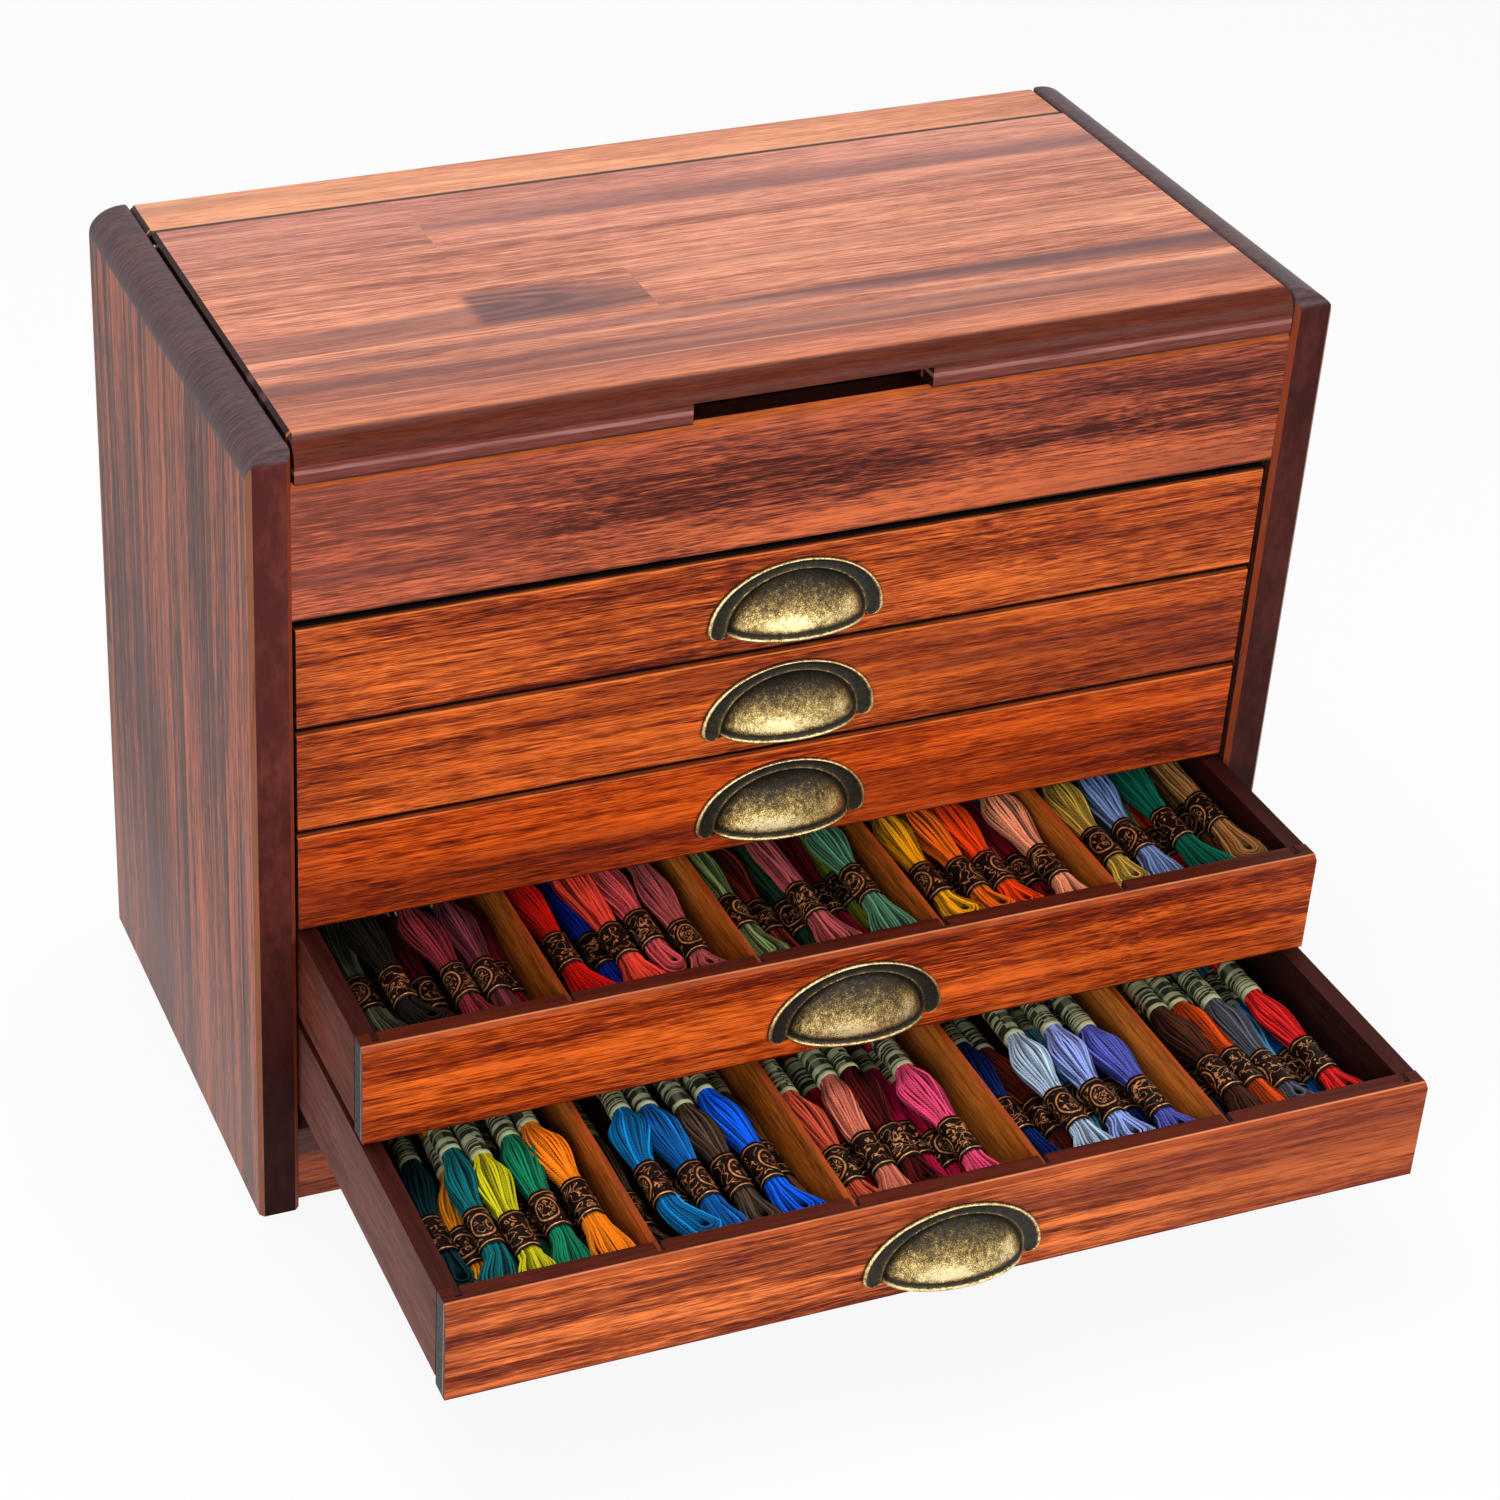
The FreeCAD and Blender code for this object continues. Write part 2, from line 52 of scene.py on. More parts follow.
# ---------- camera
cam = bpy.data.cameras.new("camera")
cam_obj = bpy.data.objects.new("camera", cam)
scene.collection.objects.link(cam_obj)
cam_right = Vector((0.943803, -0.330298, 0.011771))
cam_down = Vector((-0.168514, -0.511545, -0.842570))
cam_ahead = Vector((0.284321, 0.793237, -0.538458))
turned = Matrix((cam_right, -cam_down, -cam_ahead)).transposed().to_4x4()
cam_obj.matrix_world = Matrix.Translation((-0.59761, -1.21828, 1.05502)) @ turned
cam.sensor_width = 36.0
cam.lens = 84.43
cam.shift_x = 0.2107
cam.shift_y = -0.0048
cam.clip_start = 0.05
scene.camera = cam_obj
scene.view_settings.view_transform = "Standard"


# ---------- shader building
def srgb(r, g, b):
    """An 8-bit display colour as a linear RGBA tuple."""
    def linear(v):
        v = v / 255.0
        return v / 12.92 if v <= 0.04045 else ((v + 0.055) / 1.055) ** 2.4
    return (linear(r), linear(g), linear(b), 1.0)


def scaled(colour, factor):
    """A linear colour made lighter or darker."""
    return tuple(min(1.0, v * factor) for v in colour[:3]) + (1.0,)


class Value:
    """A node's output that can stand in a sum."""

    def __init__(self, net, socket):
        self.net, self.socket = net, socket

    def __add__(self, other):
        return self.net.math("ADD", self, other)

    def __radd__(self, other):
        return self.net.math("ADD", other, self)

    def __sub__(self, other):
        return self.net.math("SUBTRACT", self, other)

    def __rsub__(self, other):
        return self.net.math("SUBTRACT", other, self)

    def __mul__(self, other):
        return self.net.math("MULTIPLY", self, other)

    def __truediv__(self, other):
        return self.net.math("DIVIDE", self, other)

    def __abs__(self):
        return self.net.math("ABSOLUTE", self)


class Net:
    """A shader node tree that is built by short calls."""

    def __init__(self, name):
        self.mat = bpy.data.materials.new(name)
        self.mat.use_nodes = True
        self.tree = self.mat.node_tree
        self.tree.nodes.clear()
        self.out = self.add("ShaderNodeOutputMaterial")
        self.bsdf = self.add("ShaderNodeBsdfPrincipled")
        self.tree.links.new(self.bsdf.outputs[0], self.out.inputs["Surface"])
        coord = self.add("ShaderNodeTexCoord")
        self.coord = coord.outputs["Object"]
        self.normal = coord.outputs["Normal"]
        self.uv = coord.outputs["UV"]

    def add(self, kind, **props):
        node = self.tree.nodes.new(kind)
        for key, value in props.items():
            setattr(node, key, value)
        return node

    def put(self, socket, value):
        """Links a socket or sets its number. None leaves it alone."""
        if isinstance(value, Value):
            value = value.socket
        if isinstance(value, bpy.types.NodeSocket):
            self.tree.links.new(value, socket)
        elif value is not None:
            socket.default_value = value

    def attribute(self, name, output="Fac"):
        return Value(self, self.add("ShaderNodeAttribute", attribute_name=name).outputs[output])

    def math(self, op, a, b=None):
        node = self.add("ShaderNodeMath", operation=op)
        self.put(node.inputs[0], a)
        self.put(node.inputs[1], b)
        return Value(self, node.outputs[0])

    def most(self, a, b):
        return self.math("MAXIMUM", a, b)

    def length(self, a, b):
        return self.math("SQRT", a * a + b * b)

    def sway(self, noise, amount):
        """How far a noise is from its middle, times an amount."""
        return (noise - 0.5) * amount

    def split(self, vector):
        node = self.add("ShaderNodeSeparateXYZ")
        self.put(node.inputs[0], vector)
        return [Value(self, socket) for socket in node.outputs]

    def join(self, x, y, z):
        node = self.add("ShaderNodeCombineXYZ")
        for socket, value in zip(node.inputs, (x, y, z)):
            self.put(socket, value)
        return node.outputs[0]

    def noise(self, vector, scale, detail=2.0, rough=0.5, distortion=0.0):
        node = self.add("ShaderNodeTexNoise")
        self.put(node.inputs["Vector"], vector)
        self.put(node.inputs["Scale"], scale)
        self.put(node.inputs["Detail"], detail)
        self.put(node.inputs["Roughness"], rough)
        self.put(node.inputs["Distortion"], distortion)
        return Value(self, node.outputs["Fac"])

    def white(self, w):
        """White noise as a colour and as a value."""
        node = self.add("ShaderNodeTexWhiteNoise", noise_dimensions="1D")
        self.put(node.inputs["W"], w)
        return node.outputs["Color"], Value(self, node.outputs["Value"])

    def step(self, value, low, high, to_low=0.0, to_high=1.0):
        """A smooth step of value between low and high."""
        node = self.add("ShaderNodeMapRange", interpolation_type="SMOOTHSTEP")
        for key, v in (("Value", value), ("From Min", low), ("From Max", high), ("To Min", to_low),
                       ("To Max", to_high)):
            self.put(node.inputs[key], v)
        return Value(self, node.outputs[0])

    def near(self, value, place, half, core=0.6):
        """1 where value is within core of half a width from a place, and 0 past that half."""
        return self.step(abs(value - place), half * core, half, 1.0, 0.0)

    def ramp(self, fac, stops):
        node = self.add("ShaderNodeValToRGB")
        self.put(node.inputs[0], fac)
        ramp = node.color_ramp
        while len(ramp.elements) < len(stops):
            ramp.elements.new(0.5)
        for element, (place, colour) in zip(ramp.elements, stops):
            element.position = place
            element.color = colour
        return node.outputs[0]

    def mix(self, fac, a, b, blend="MIX"):
        node = self.add("ShaderNodeMix", data_type="RGBA", blend_type=blend)
        self.put(node.inputs[0], fac)
        self.put(node.inputs[6], a)
        self.put(node.inputs[7], b)
        return node.outputs[2]

    def tinted(self, a, b):
        return self.mix(1.0, a, b, "MULTIPLY")

    def bump(self, height, strength, distance):
        node = self.add("ShaderNodeBump")
        self.put(node.inputs["Height"], height)
        node.inputs["Strength"].default_value = strength
        node.inputs["Distance"].default_value = distance
        return node.outputs[0]

    def surface(self, colour, rough, normal=None, shine=None, metal=None):
        """Sets the shader's main inputs and gives the finished material."""
        for key, value in (("Base Color", colour), ("Roughness", rough), ("Normal", normal),
                           ("Specular IOR Level", shine), ("Metallic", metal)):
            self.put(self.bsdf.inputs[key], value)
        return self.mat


# ---------- wood
GRAIN = {"X": (0, 1, 2), "Y": (1, 0, 2), "Z": (2, 1, 0)}  # the axes along, across and through the grain
SEED_STEP = (3.1, 0.37)  # how far each seed moves the figure along and across the grain
SHIFT = (9.0, 0.9, 0.4)  # how far a stave's figure may move along, across and through the grain
BROAD = 0.004  # a zone or line broader than this has wavy edges
UNBROKEN = 0.95  # a line this strong has no gaps


class Wood(Net):
    """A stained softwood board with its grain along one axis. Its noises are made once and used by all."""

    def __init__(self, name, grain, seed, slow, deep, staves):
        super().__init__(name)
        self.places, self.facing = self.split(self.coord), self.split(self.normal)
        self.end_on = abs(self.facing[GRAIN[grain][0]])
        place = [self.places[axis] for axis in GRAIN[grain]]
        self.shade = self.joint = None
        if staves is not None:
            place = self.stave(place, seed, *staves)
        a, b, c = place
        self.a = a + seed * SEED_STEP[0]
        b = b + seed * SEED_STEP[1]
        self.c = c * deep
        self.low = self.noise(self.join(self.a * 0.5, b, self.c), 7.0)
        self.b = b + self.sway(self.low, 0.014)
        self.band = self.grained(0.085, 30.0, 3.0, 0.5, 0.4)
        self.line = self.grained(slow, 170.0, 3.0, 0.6)
        self.fine = self.grained(0.05, 620.0, 2.0, 0.6)
        self.fibre = self.grained(0.030, 2000.0, 2.0, 0.75)
        self.crisp = self.fine * 0.35 + self.fibre * 0.65
        pale = (1.22, 1.18, 1.18, 1.0)
        self.speckle = self.mix(self.step(self.crisp, 0.36, 0.64), (0.62, 0.60, 0.60, 1.0), pale)
        self.mottle = self.mix(self.step(self.line + self.crisp, 0.78, 1.22), (0.55, 0.51, 0.51, 1.0), pale)

    def grained(self, stretch, scale, detail, rough, distortion=0.0):
        """A noise drawn out along the grain. The smaller stretch is, the longer its marks are."""
        return self.noise(self.join(self.a * stretch, self.b, self.c), scale, detail, rough, distortion)

    def stave(self, place, seed, width, first, segment):
        """Moves the figure from one glued stave to the next, and sets each stave's shade and its joints."""
        a, b = place[:2]
        rows = (b - first) / width
        row = self.math("FLOOR", rows)
        self.joint = abs(self.math("FRACT", rows + 0.5) - 0.5)
        start = self.white(row + seed * 1.7)[1]
        piece = self.math("FLOOR", (a + start * segment) / segment)
        jump, self.shade = self.white(row * 7.31 + piece * 3.17)
        return [value + part * reach for value, part, reach in zip(place, self.split(jump), SHIFT)]

    def late_wood(self, seed, heart):
        """The dark ends of the growth rings round a heart across and through the grain."""
        rings_per_metre, ripple, sharpness = 230.0, 5.0, 2.2
        across = self.b - math.floor(seed * SEED_STEP[1] * 10) / 10 + heart[0]
        radius = self.length(across, self.c + heart[1])
        wave = self.grained(0.12, 22.0, 2.0, 0.5) * ripple
        ring = self.math("FRACT", radius * rings_per_metre + wave)
        return self.math("POWER", ring, sharpness)

    def figure(self, dark, mid, light, late, weights, rings, tone):
        """The stain's colour: the bands, lines, grain and fibres by their weights, less the late wood."""
        value = 0.5
        for part, amount in zip((self.band, self.line, self.fine, self.fibre), weights):
            value = value + self.sway(part, amount)
        fade = self.step(self.grained(0.2, 16.0, 2.0, 0.5), 0.38, 0.62)
        value = value - late * fade * (0.34 * rings)
        if self.shade is not None:
            value = value + self.sway(self.shade, tone * 2.0)
        return self.ramp(value, ((0.14, dark), (0.46, mid), (0.72, light), (1.0, scaled(light, 1.35))))

    def streaks(self, strength, flame):
        """Where dark patches lie. The smaller flame is, the longer they are."""
        cloud = self.grained(flame, 21.0, 5.0, 0.62, 0.8)
        return self.step(cloud + self.sway(self.crisp, 0.22), 0.51, 0.7) * strength

    def marks(self, strength):
        """Short dark dashes that gather here and there."""
        dash = self.grained(0.06, 520.0, 1.0, 0.5)
        gather = self.step(self.grained(0.3, 18.0, 2.0, 0.5), 0.35, 0.65, 0.35, 1.0)
        return self.step(dash, 0.62, 0.73, 0.0, strength) * gather

    def glue_lines(self, width):
        """Pale broken lines along the joints of staves."""
        thin, wide = 0.0003, 0.0009
        return self.step(self.joint, thin / width, wide / width, 0.55, 0.0) * self.step(self.line, 0.35, 0.6)

    def flare(self, x0, x1, y0, y1):
        """A dark flame of arched lines between two x and two y, which starts sharply and fades away."""
        sharp, full, blunt, pitch = 0.007, 0.035, 0.16, 0.0042
        off = self.places[1] - (y0 + y1) / 2 + self.sway(self.low, 0.006)
        run = (self.places[0] - x0) * blunt
        wave = self.math("SINE", self.length(run, off) * (2 * math.pi / pitch))
        body = self.step(self.places[0], x0, x0 + sharp) * self.step(self.places[0], x1, x0 + full)
        body = body * self.step(abs(off), (y1 - y0) / 2, (y1 - y0) / 3)
        return body * self.step(wave + self.crisp * 2.0, 0.0, 2.2, 0.95, 0.62)

    def zone(self, colour, axis, start, stop, tint, strength):
        """A change of colour that grows along an axis, from start to stop."""
        place = self.places["XYZ".index(axis)]
        if abs(stop - start) > BROAD:
            place = place + self.sway(self.band, 0.02)
        amount = self.step(place, start, stop) * strength
        return self.mix(amount, colour, self.tinted(self.speckle, srgb(*tint)))

    def end_grain(self, colour, tint, late):
        """Colours the two ends of the board, where the rings come out."""
        amount = self.step(self.end_on, 0.25, 0.6)
        rings = self.step(late + self.fine, 0.4, 1.3)
        return self.mix(amount, colour, self.mix(rings, tint, scaled(tint, 0.45)))

    def top(self, colour, tint):
        """Colours what faces up."""
        return self.mix(self.step(self.facing[2], 0.85, 0.95), colour, self.tinted(self.mottle, tint))

    def edge(self, colour, foot, head):
        """Colours what faces forward or back, from one colour at its foot to another at its head."""
        amount = self.step(abs(self.facing[1]), 0.9, 0.98)
        faded = self.mix(self.step(self.places[2], 0.06, 0.26), foot, head)
        return self.mix(amount, colour, self.tinted(self.mottle, faded))

    def wear_and_highlight(self, colour, left, right):
        """Colours the corners that face forward and to the left and those that face forward and to the right,
        each with its own colour: rubbed paler wood, and orange that is partly a painted highlight.
        """
        corner = abs(self.facing[0]) * (self.facing[1] * -2.0)
        patchy = self.step(self.grained(0.06, 300.0, 2.0, 0.6), 0.25, 0.5, 0.3, 1.0)
        amount = self.step(corner, 0.8, 0.96) * patchy
        return self.mix(amount, colour, self.mix(self.step(self.facing[0], -0.1, 0.1), left, right))

    def line_at(self, colour, axis, place, half, strength, tint):
        """A line across an axis, with half its width. Unless it is strong, it comes and goes."""
        here = self.places["XYZ".index(axis)]
        if half > BROAD:
            here = here + self.sway(self.low, 0.016)
        amount = self.step(abs(here - place), half * 0.4, half, strength, 0.0)
        if strength < UNBROKEN:
            amount = amount * self.step(self.line + self.fine, 0.75, 1.15, 0.45, 1.0)
        return self.mix(amount, colour, srgb(*tint))


def wood(name, grain, seed, stain, streaks=0.8, weights=(1.1, 0.35, 0.7, 1.2), slow=0.03, staves=None,
         tone=0.12, end=None, top=None, edge=None, wear_and_highlight=None, rough=0.42, shine=0.15, dashes=0.55, lines=(),
         zones=(), heart=(0.03, 0.07), rings=0.35, deep=1.0, flame=0.15, flare=None):
    """A stained board's material. All its colours are 8-bit display colours.

    stain has the dark, middle, light and streak colours, and streaks and dashes are the strengths of the
    dark patches and of the short dashes. weights are those of the bands, the lines, the fine grain and the
    fibres. slow is how slowly the lines change on their way, and deep how fast the figure changes through
    the thickness. staves has the width of the glued staves, the place of a joint and the length of a piece,
    and tone is how much their shades differ. Each zone and line is what Wood.zone and Wood.line_at take.
    """
    g = Wood(name, grain, seed, slow, deep, staves)
    dark, mid, light, streak = (srgb(*colour) for colour in stain)
    late = g.late_wood(seed, heart)
    colour = g.figure(dark, mid, light, late, weights, rings, tone)
    colour = g.mix(g.streaks(streaks, flame), colour, streak)
    marks = g.marks(dashes)
    colour = g.mix(marks, colour, scaled(dark, 0.35))
    if staves is not None:
        colour = g.mix(g.glue_lines(staves[0]), colour, scaled(light, 1.35))
    if flare is not None:
        colour = g.mix(g.flare(*flare), colour, streak)
    for zone in zones:
        colour = g.zone(colour, *zone)
    if end is not None:
        colour = g.end_grain(colour, srgb(*end), late)
    if top is not None:
        colour = g.top(colour, srgb(*top))
    if edge is not None:
        colour = g.edge(colour, *(srgb(*tint) for tint in edge))
    if wear_and_highlight is not None:
        colour = g.wear_and_highlight(colour, *(srgb(*tint) for tint in wear_and_highlight))
    for line in lines:
        colour = g.line_at(colour, *line)
    relief = g.bump(g.crisp - marks * 0.9, 0.3, 0.0003)
    return g.surface(colour, rough + g.sway(g.fine, 0.3), relief, shine)


def dress(node, material):
    """Gives a CAD node a material in place of its own."""
    slots = nodes[node].data.materials
    slots.clear()
    slots.append(material)


# ---------- the case's woods
SHOULDER = 0.0126  # from the top of a side panel down to where its rounded edges start
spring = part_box("left_side_panel")[1].z - SHOULDER
# the sides' inner front corners get orange that is rubbed wood and partly a painted highlight; the outer
# front corners are rubbed pale
pale_rub, orange_rub_and_highlight = (138, 88, 66), (134, 58, 32)
for side, seed, head, rubs_and_highlights in (("left", 3.3, (102, 48, 42), (pale_rub, orange_rub_and_highlight)),
                               ("right", 8.1, (74, 31, 26), (orange_rub_and_highlight, pale_rub))):
    dress(side + "_side_panel", wood(
        side + "_side_wood", "Z", seed, ((60, 30, 24), (121, 65, 53), (176, 92, 63), (66, 42, 42)),
        streaks=0.85, weights=(1.9, 2.4, 1.3, 2.4), slow=0.010, dashes=0.5, flame=0.035, deep=0.08,
        staves=(0.043, 0.0, 1.2), tone=0.14, rough=0.38, shine=0.07, edge=((50, 19, 16), head), wear_and_highlight=rubs_and_highlights,
        heart=(0.02, 0.30),
        zones=(("Z", 0.15, 0.02, (162, 124, 117), 0.42),  # painted sheen, paler and greyer towards the foot
               ("Z", spring - 0.0008, spring + 0.0008, (86, 71, 74), 0.92))))  # the rounded edges: dark wood with a painted grey sheen

low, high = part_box("lid_panel")
lid_streak = (116, 80, 84)
# the lid's stain is painted paler and pinker than the wood, which stands in for the sheen it reflects
dress("lid_panel", wood(
    "lid_wood", "X", 5.2, ((140, 80, 62), (202, 126, 101), (236, 157, 123), (102, 72, 76)), streaks=0.9,
    weights=(1.1, 1.0, 0.6, 1.9), dashes=0.4, flame=0.026, staves=(0.0425, 0.052, 1.3), tone=0.05, rough=0.38,
    # the ends are dark end grain, and also painted for the shade in the gaps beside the side panels
    shine=0.12, end=(44, 18, 14), flare=(-0.124, -0.020, 0.054, 0.092), heart=(0.02, 0.09),
    zones=(("Y", low.y + 0.110, high.y, (204, 142, 130), 0.45),  # greyer to the rear
           ("Y", low.y + 0.055, low.y + 0.010, (184, 98, 66), 0.5),  # redder to the front
           ("Y", low.y + 0.0100, low.y + 0.0064, (80, 24, 9), 0.95),  # the rounded nose, with a painted dark reflection
           ("Z", high.z - 0.0105, high.z - 0.0115, (120, 62, 54), 0.75)),  # the nose's lower half
    lines=(("Y", 0.0245, 0.0042, 0.55, lid_streak),
           ("Y", 0.0420, 0.0046, 0.60, lid_streak),
           ("Y", low.y + 0.0106, 0.0012, 0.5, (236, 136, 78)),  # painted highlight above the nose
           ("Y", high.y - 0.0004, 0.0015, 0.98, (30, 12, 9)),  # painted shadow in the joint at the rear
           ("Z", high.z - 0.0138, 0.0014, 0.5, (190, 136, 130)),  # painted highlight round the nose
           ("Z", low.z, 0.0014, 0.85, (46, 20, 16)))))  # painted shadow along the lower arris

low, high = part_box("rear_top_strip")
dress("rear_top_strip", wood(
    "strip_wood", "X", 2.6, ((150, 88, 64), (216, 135, 98), (246, 170, 126), (120, 82, 76)), streaks=0.6,
    weights=(1.0, 0.5, 0.6, 1.4), dashes=0.3, flame=0.05, rough=0.38, shine=0.2, end=(46, 22, 18),
    zones=(("Y", low.y + 0.014, low.y + 0.006, (196, 126, 108), 0.45),),
    lines=(("Y", low.y + 0.0014, 0.0022, 0.98, (26, 10, 8)),  # painted shadow in the joint with the lid
           ("Y", low.y + 0.0044, 0.0009, 0.6, (246, 164, 112)))))  # a pale line along its arris

low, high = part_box("upper_front_panel")
dress("upper_front_panel", wood(
    "upper_front_wood", "X", 7.7, ((62, 22, 18), (136, 60, 42), (192, 96, 56), (88, 42, 42)),
    # the top is painted dark, which stands in for the shade under the lid
    weights=(1.5, 1.2, 0.6, 2.2), flame=0.055, shine=0.1, end=(60, 24, 18), top=(40, 16, 12),
    zones=(("Z", high.z - 0.034, high.z - 0.006, (116, 56, 50), 0.3),  # darker towards the lid
           ("X", low.x + 0.17, low.x + 0.02, (206, 114, 90), 0.24),  # paler to the left
           ("Z", high.z - 0.0029, high.z - 0.0025, (206, 104, 48), 0.8)),  # the bevel
    # painted shadow along the lower edge, in the gap above drawer 1
    lines=(("Z", low.z, 0.0014, 0.9, (26, 10, 8)),)))

BEVEL = 0.0023  # the height of the bevel along the top of a drawer front
FRONT_STAINS = {1: ((162, 66, 27), (220, 108, 44)), 2: ((162, 64, 23), (216, 102, 38)),
                3: ((168, 57, 9), (220, 92, 26)), 4: ((154, 52, 12), (222, 99, 32)),
                5: ((156, 68, 32), (222, 116, 58))}
for index, (mid, light) in FRONT_STAINS.items():
    low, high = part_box("drawer_%d_front" % index)
    arris = high.z - BEVEL
    lowest = index == DRAWERS[-1]
    if index in OPEN_DRAWERS:
        bevel_tint_and_shade = (172, 80, 44)
        # a painted highlight along the front arris of the top
        lines = (("Y", low.y + 0.0024, 0.0006, 0.75, (232, 150, 100)),
                 ("Z", arris, 0.0004, 0.6, (112, 46, 24)))
    else:
        # on the closed fronts the bevel is painted dark, which stands in for the shade under the front above;
        # then come a painted highlight along the arris and a painted shadow in the gap at the top
        bevel_tint_and_shade = (112, 44, 16)
        gap = 0.0021 if index == 1 else 0.0013
        lines = (("Z", arris, 0.0004, 0.85, (230, 134, 66)),
                 ("Z", high.z, gap, 1.0, (5, 2, 2)))
    dress("drawer_%d_front" % index, wood(
        "front_%d_wood" % index, "X", 1.9 + index * 2.3, ((78, 22, 12), mid, light, (92, 34, 28)), shine=0.07,
        weights=(1.3, 1.7, 0.6, 1.7) if lowest else (1.3, 1.1, 0.5, 2.0), dashes=0.45,
        # the tops are painted dark, which also stands in for the shade in the gaps between the fronts
        flame=0.03 if lowest else 0.045, end=(52, 54, 58), top=(84, 32, 20),
        heart=(0.01 + 0.02 * index, 0.05),
        zones=(("X", low.x + 0.030, low.x + 0.001, (110, 44, 30), 0.35),  # darker at the left end
               ("X", 0.02, 0.16, (118, 48, 34), 0.55 if lowest else 0.15),  # darker to the right
               ("Z", arris + 0.0002, arris + 0.0006, bevel_tint_and_shade, 0.85)),
        # a painted shadow along the lower edge
        lines=lines + (("Z", low.z, 0.0008, 0.85, (24, 8, 4)),)))

# the drawer sides' inner faces are painted near black, which stands in for the shade inside the drawers
INNER_SHADE = (34, 11, 8)
SIDE_STAIN = ((50, 20, 14), (88, 42, 32), (116, 58, 44), (50, 22, 20))
LOWEST_SIDE_STAIN = ((62, 34, 30), (106, 66, 58), (132, 84, 74), (50, 22, 20))
for index in DRAWERS:
    for side, outward in (("left", -1.0), ("right", 1.0)):
        node = "drawer_%d_%s_side" % (index, side)
        low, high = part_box(node)
        inner = low.x if outward > 0 else high.x
        dress(node, wood(
            node + "_wood", "Y", 4.4 + index, LOWEST_SIDE_STAIN if index == DRAWERS[-1] else SIDE_STAIN,
            streaks=0.5, rings=0.3, rough=0.6, shine=0.08, end=(50, 34, 32), top=(64, 26, 20),
            zones=(("X", inner + outward * 0.0006, inner + outward * 0.0002, INNER_SHADE, 0.92),)))

# stained very dark, which partly stands in for the shade inside the drawers
shaded_cross_wood = wood("drawer_cross_wood", "X", 6.4, ((30, 10, 8), (52, 20, 16), (76, 32, 26), (34, 14, 14)),
                  streaks=0.5, rings=0.3, rough=0.6, end=(50, 34, 32))
divider_wood = wood("divider_wood", "Y", 9.4, ((104, 50, 12), (182, 98, 30), (220, 130, 52), (100, 46, 16)),
                    streaks=0.4, rings=0.2, rough=0.55, shine=0.12, end=(80, 40, 20), top=(164, 76, 28))
for index in DRAWERS:
    for piece in ("back", "bottom"):
        dress("drawer_%d_%s" % (index, piece), shaded_cross_wood)
    dress("drawer_%d_dividers" % index, divider_wood)

case_wood = wood("case_wood", "X", 11.2, ((50, 20, 14), (104, 48, 32), (144, 76, 50), (52, 26, 22)),
                 streaks=0.6, rings=0.5, rough=0.5, shine=0.2, end=(60, 30, 24))
for node in ("back_panel", "bottom_panel", "tray_floor"):
    dress(node, case_wood)
runner_wood = wood("runner_wood", "Y", 12.2, ((50, 20, 14), (96, 46, 30), (130, 70, 46), (52, 26, 22)),
                   streaks=0.5, rings=0.4, rough=0.55, shine=0.2)
for node in ("left_runners", "right_runners"):
    dress(node, runner_wood)
dress("base_front_rail", wood(
    "rail_wood", "X", 13.1, ((60, 22, 14), (118, 52, 32), (160, 82, 50), (54, 26, 20)), streaks=0.7,
    rings=0.8, rough=0.45, shine=0.18, end=(60, 30, 24),
    # painted shadow of the open drawer above, on the rail's upper part
    zones=(("Z", 0.027, 0.032, (74, 52, 48), 0.85),),
    lines=(("Z", 0.0117, 0.0006, 0.8, (26, 12, 10)),)))


# ---------- metals
def antique_brass():
    """Cast brass with dark speckled patina, bright where the attribute wear_and_shine is high: rubbed on the
    flange and the lip, painted reflection and highlights on the cup.
    """
    g = Net("antique_brass")
    speck = g.noise(g.coord, 2300.0, 2.0, 0.7)
    blot = g.noise(g.coord, 420.0, 3.0, 0.6)
    cloud = g.noise(g.coord, 60.0)
    grainy = speck * 1.6 + blot * 0.7 - 0.6
    level = grainy + g.sway(g.attribute("wear_and_shine"), 0.8) + g.sway(cloud, 0.25)
    colour = g.ramp(level, ((0.30, srgb(26, 24, 20)), (0.52, srgb(66, 56, 38)), (0.70, srgb(132, 108, 60)),
                            (0.92, srgb(200, 174, 110)), (1.0, srgb(250, 232, 178))))
    return g.surface(colour, g.step(level, 0.3, 0.9, 0.55, 0.30), g.bump(grainy, 0.5, 0.00025),
                     metal=g.step(level, 0.35, 0.65, 0.55, 0.95))


def zinc_steel():
    """Zinc-plated steel with fine turning marks."""
    g = Net("zinc_steel")
    x, y, z = g.split(g.coord)
    mark = g.noise(g.join(x, y * 6.0, z), 700.0)
    colour = g.ramp(mark, ((0.3, srgb(150, 150, 155)), (0.7, srgb(200, 200, 204))))
    return g.surface(colour, g.step(mark, 0.3, 0.7, 0.28, 0.42), g.bump(mark, 0.1, 0.0001), metal=1.0)


brass, zinc = antique_brass(), zinc_steel()
dress("lid_pivot_pins", zinc)
for index in DRAWERS:
    dress("drawer_%d_pull_screws" % index, zinc)


# ---------- meshes
def mesh_object(name, verts, faces, origin, materials):
    """A smooth mesh object from vertices in millimetres round an origin in metres."""
    mesh = bpy.data.meshes.new(name)
    mesh.from_pydata((np.asarray(verts) * MM + origin).tolist(), [], faces)
    mesh.validate()
    mesh.update()
    mesh.shade_smooth()
    for material in materials:
        mesh.materials.append(material)
    obj = bpy.data.objects.new(name, mesh)
    scene.collection.objects.link(obj)
    return obj


def set_attribute(obj, name, kind, values):
    """Stores a value or a colour for each vertex."""
    layer = obj.data.attributes.new(name, kind, "POINT")
    layer.data.foreach_set("color" if kind == "FLOAT_COLOR" else "value", np.ravel(values).astype(np.float32))


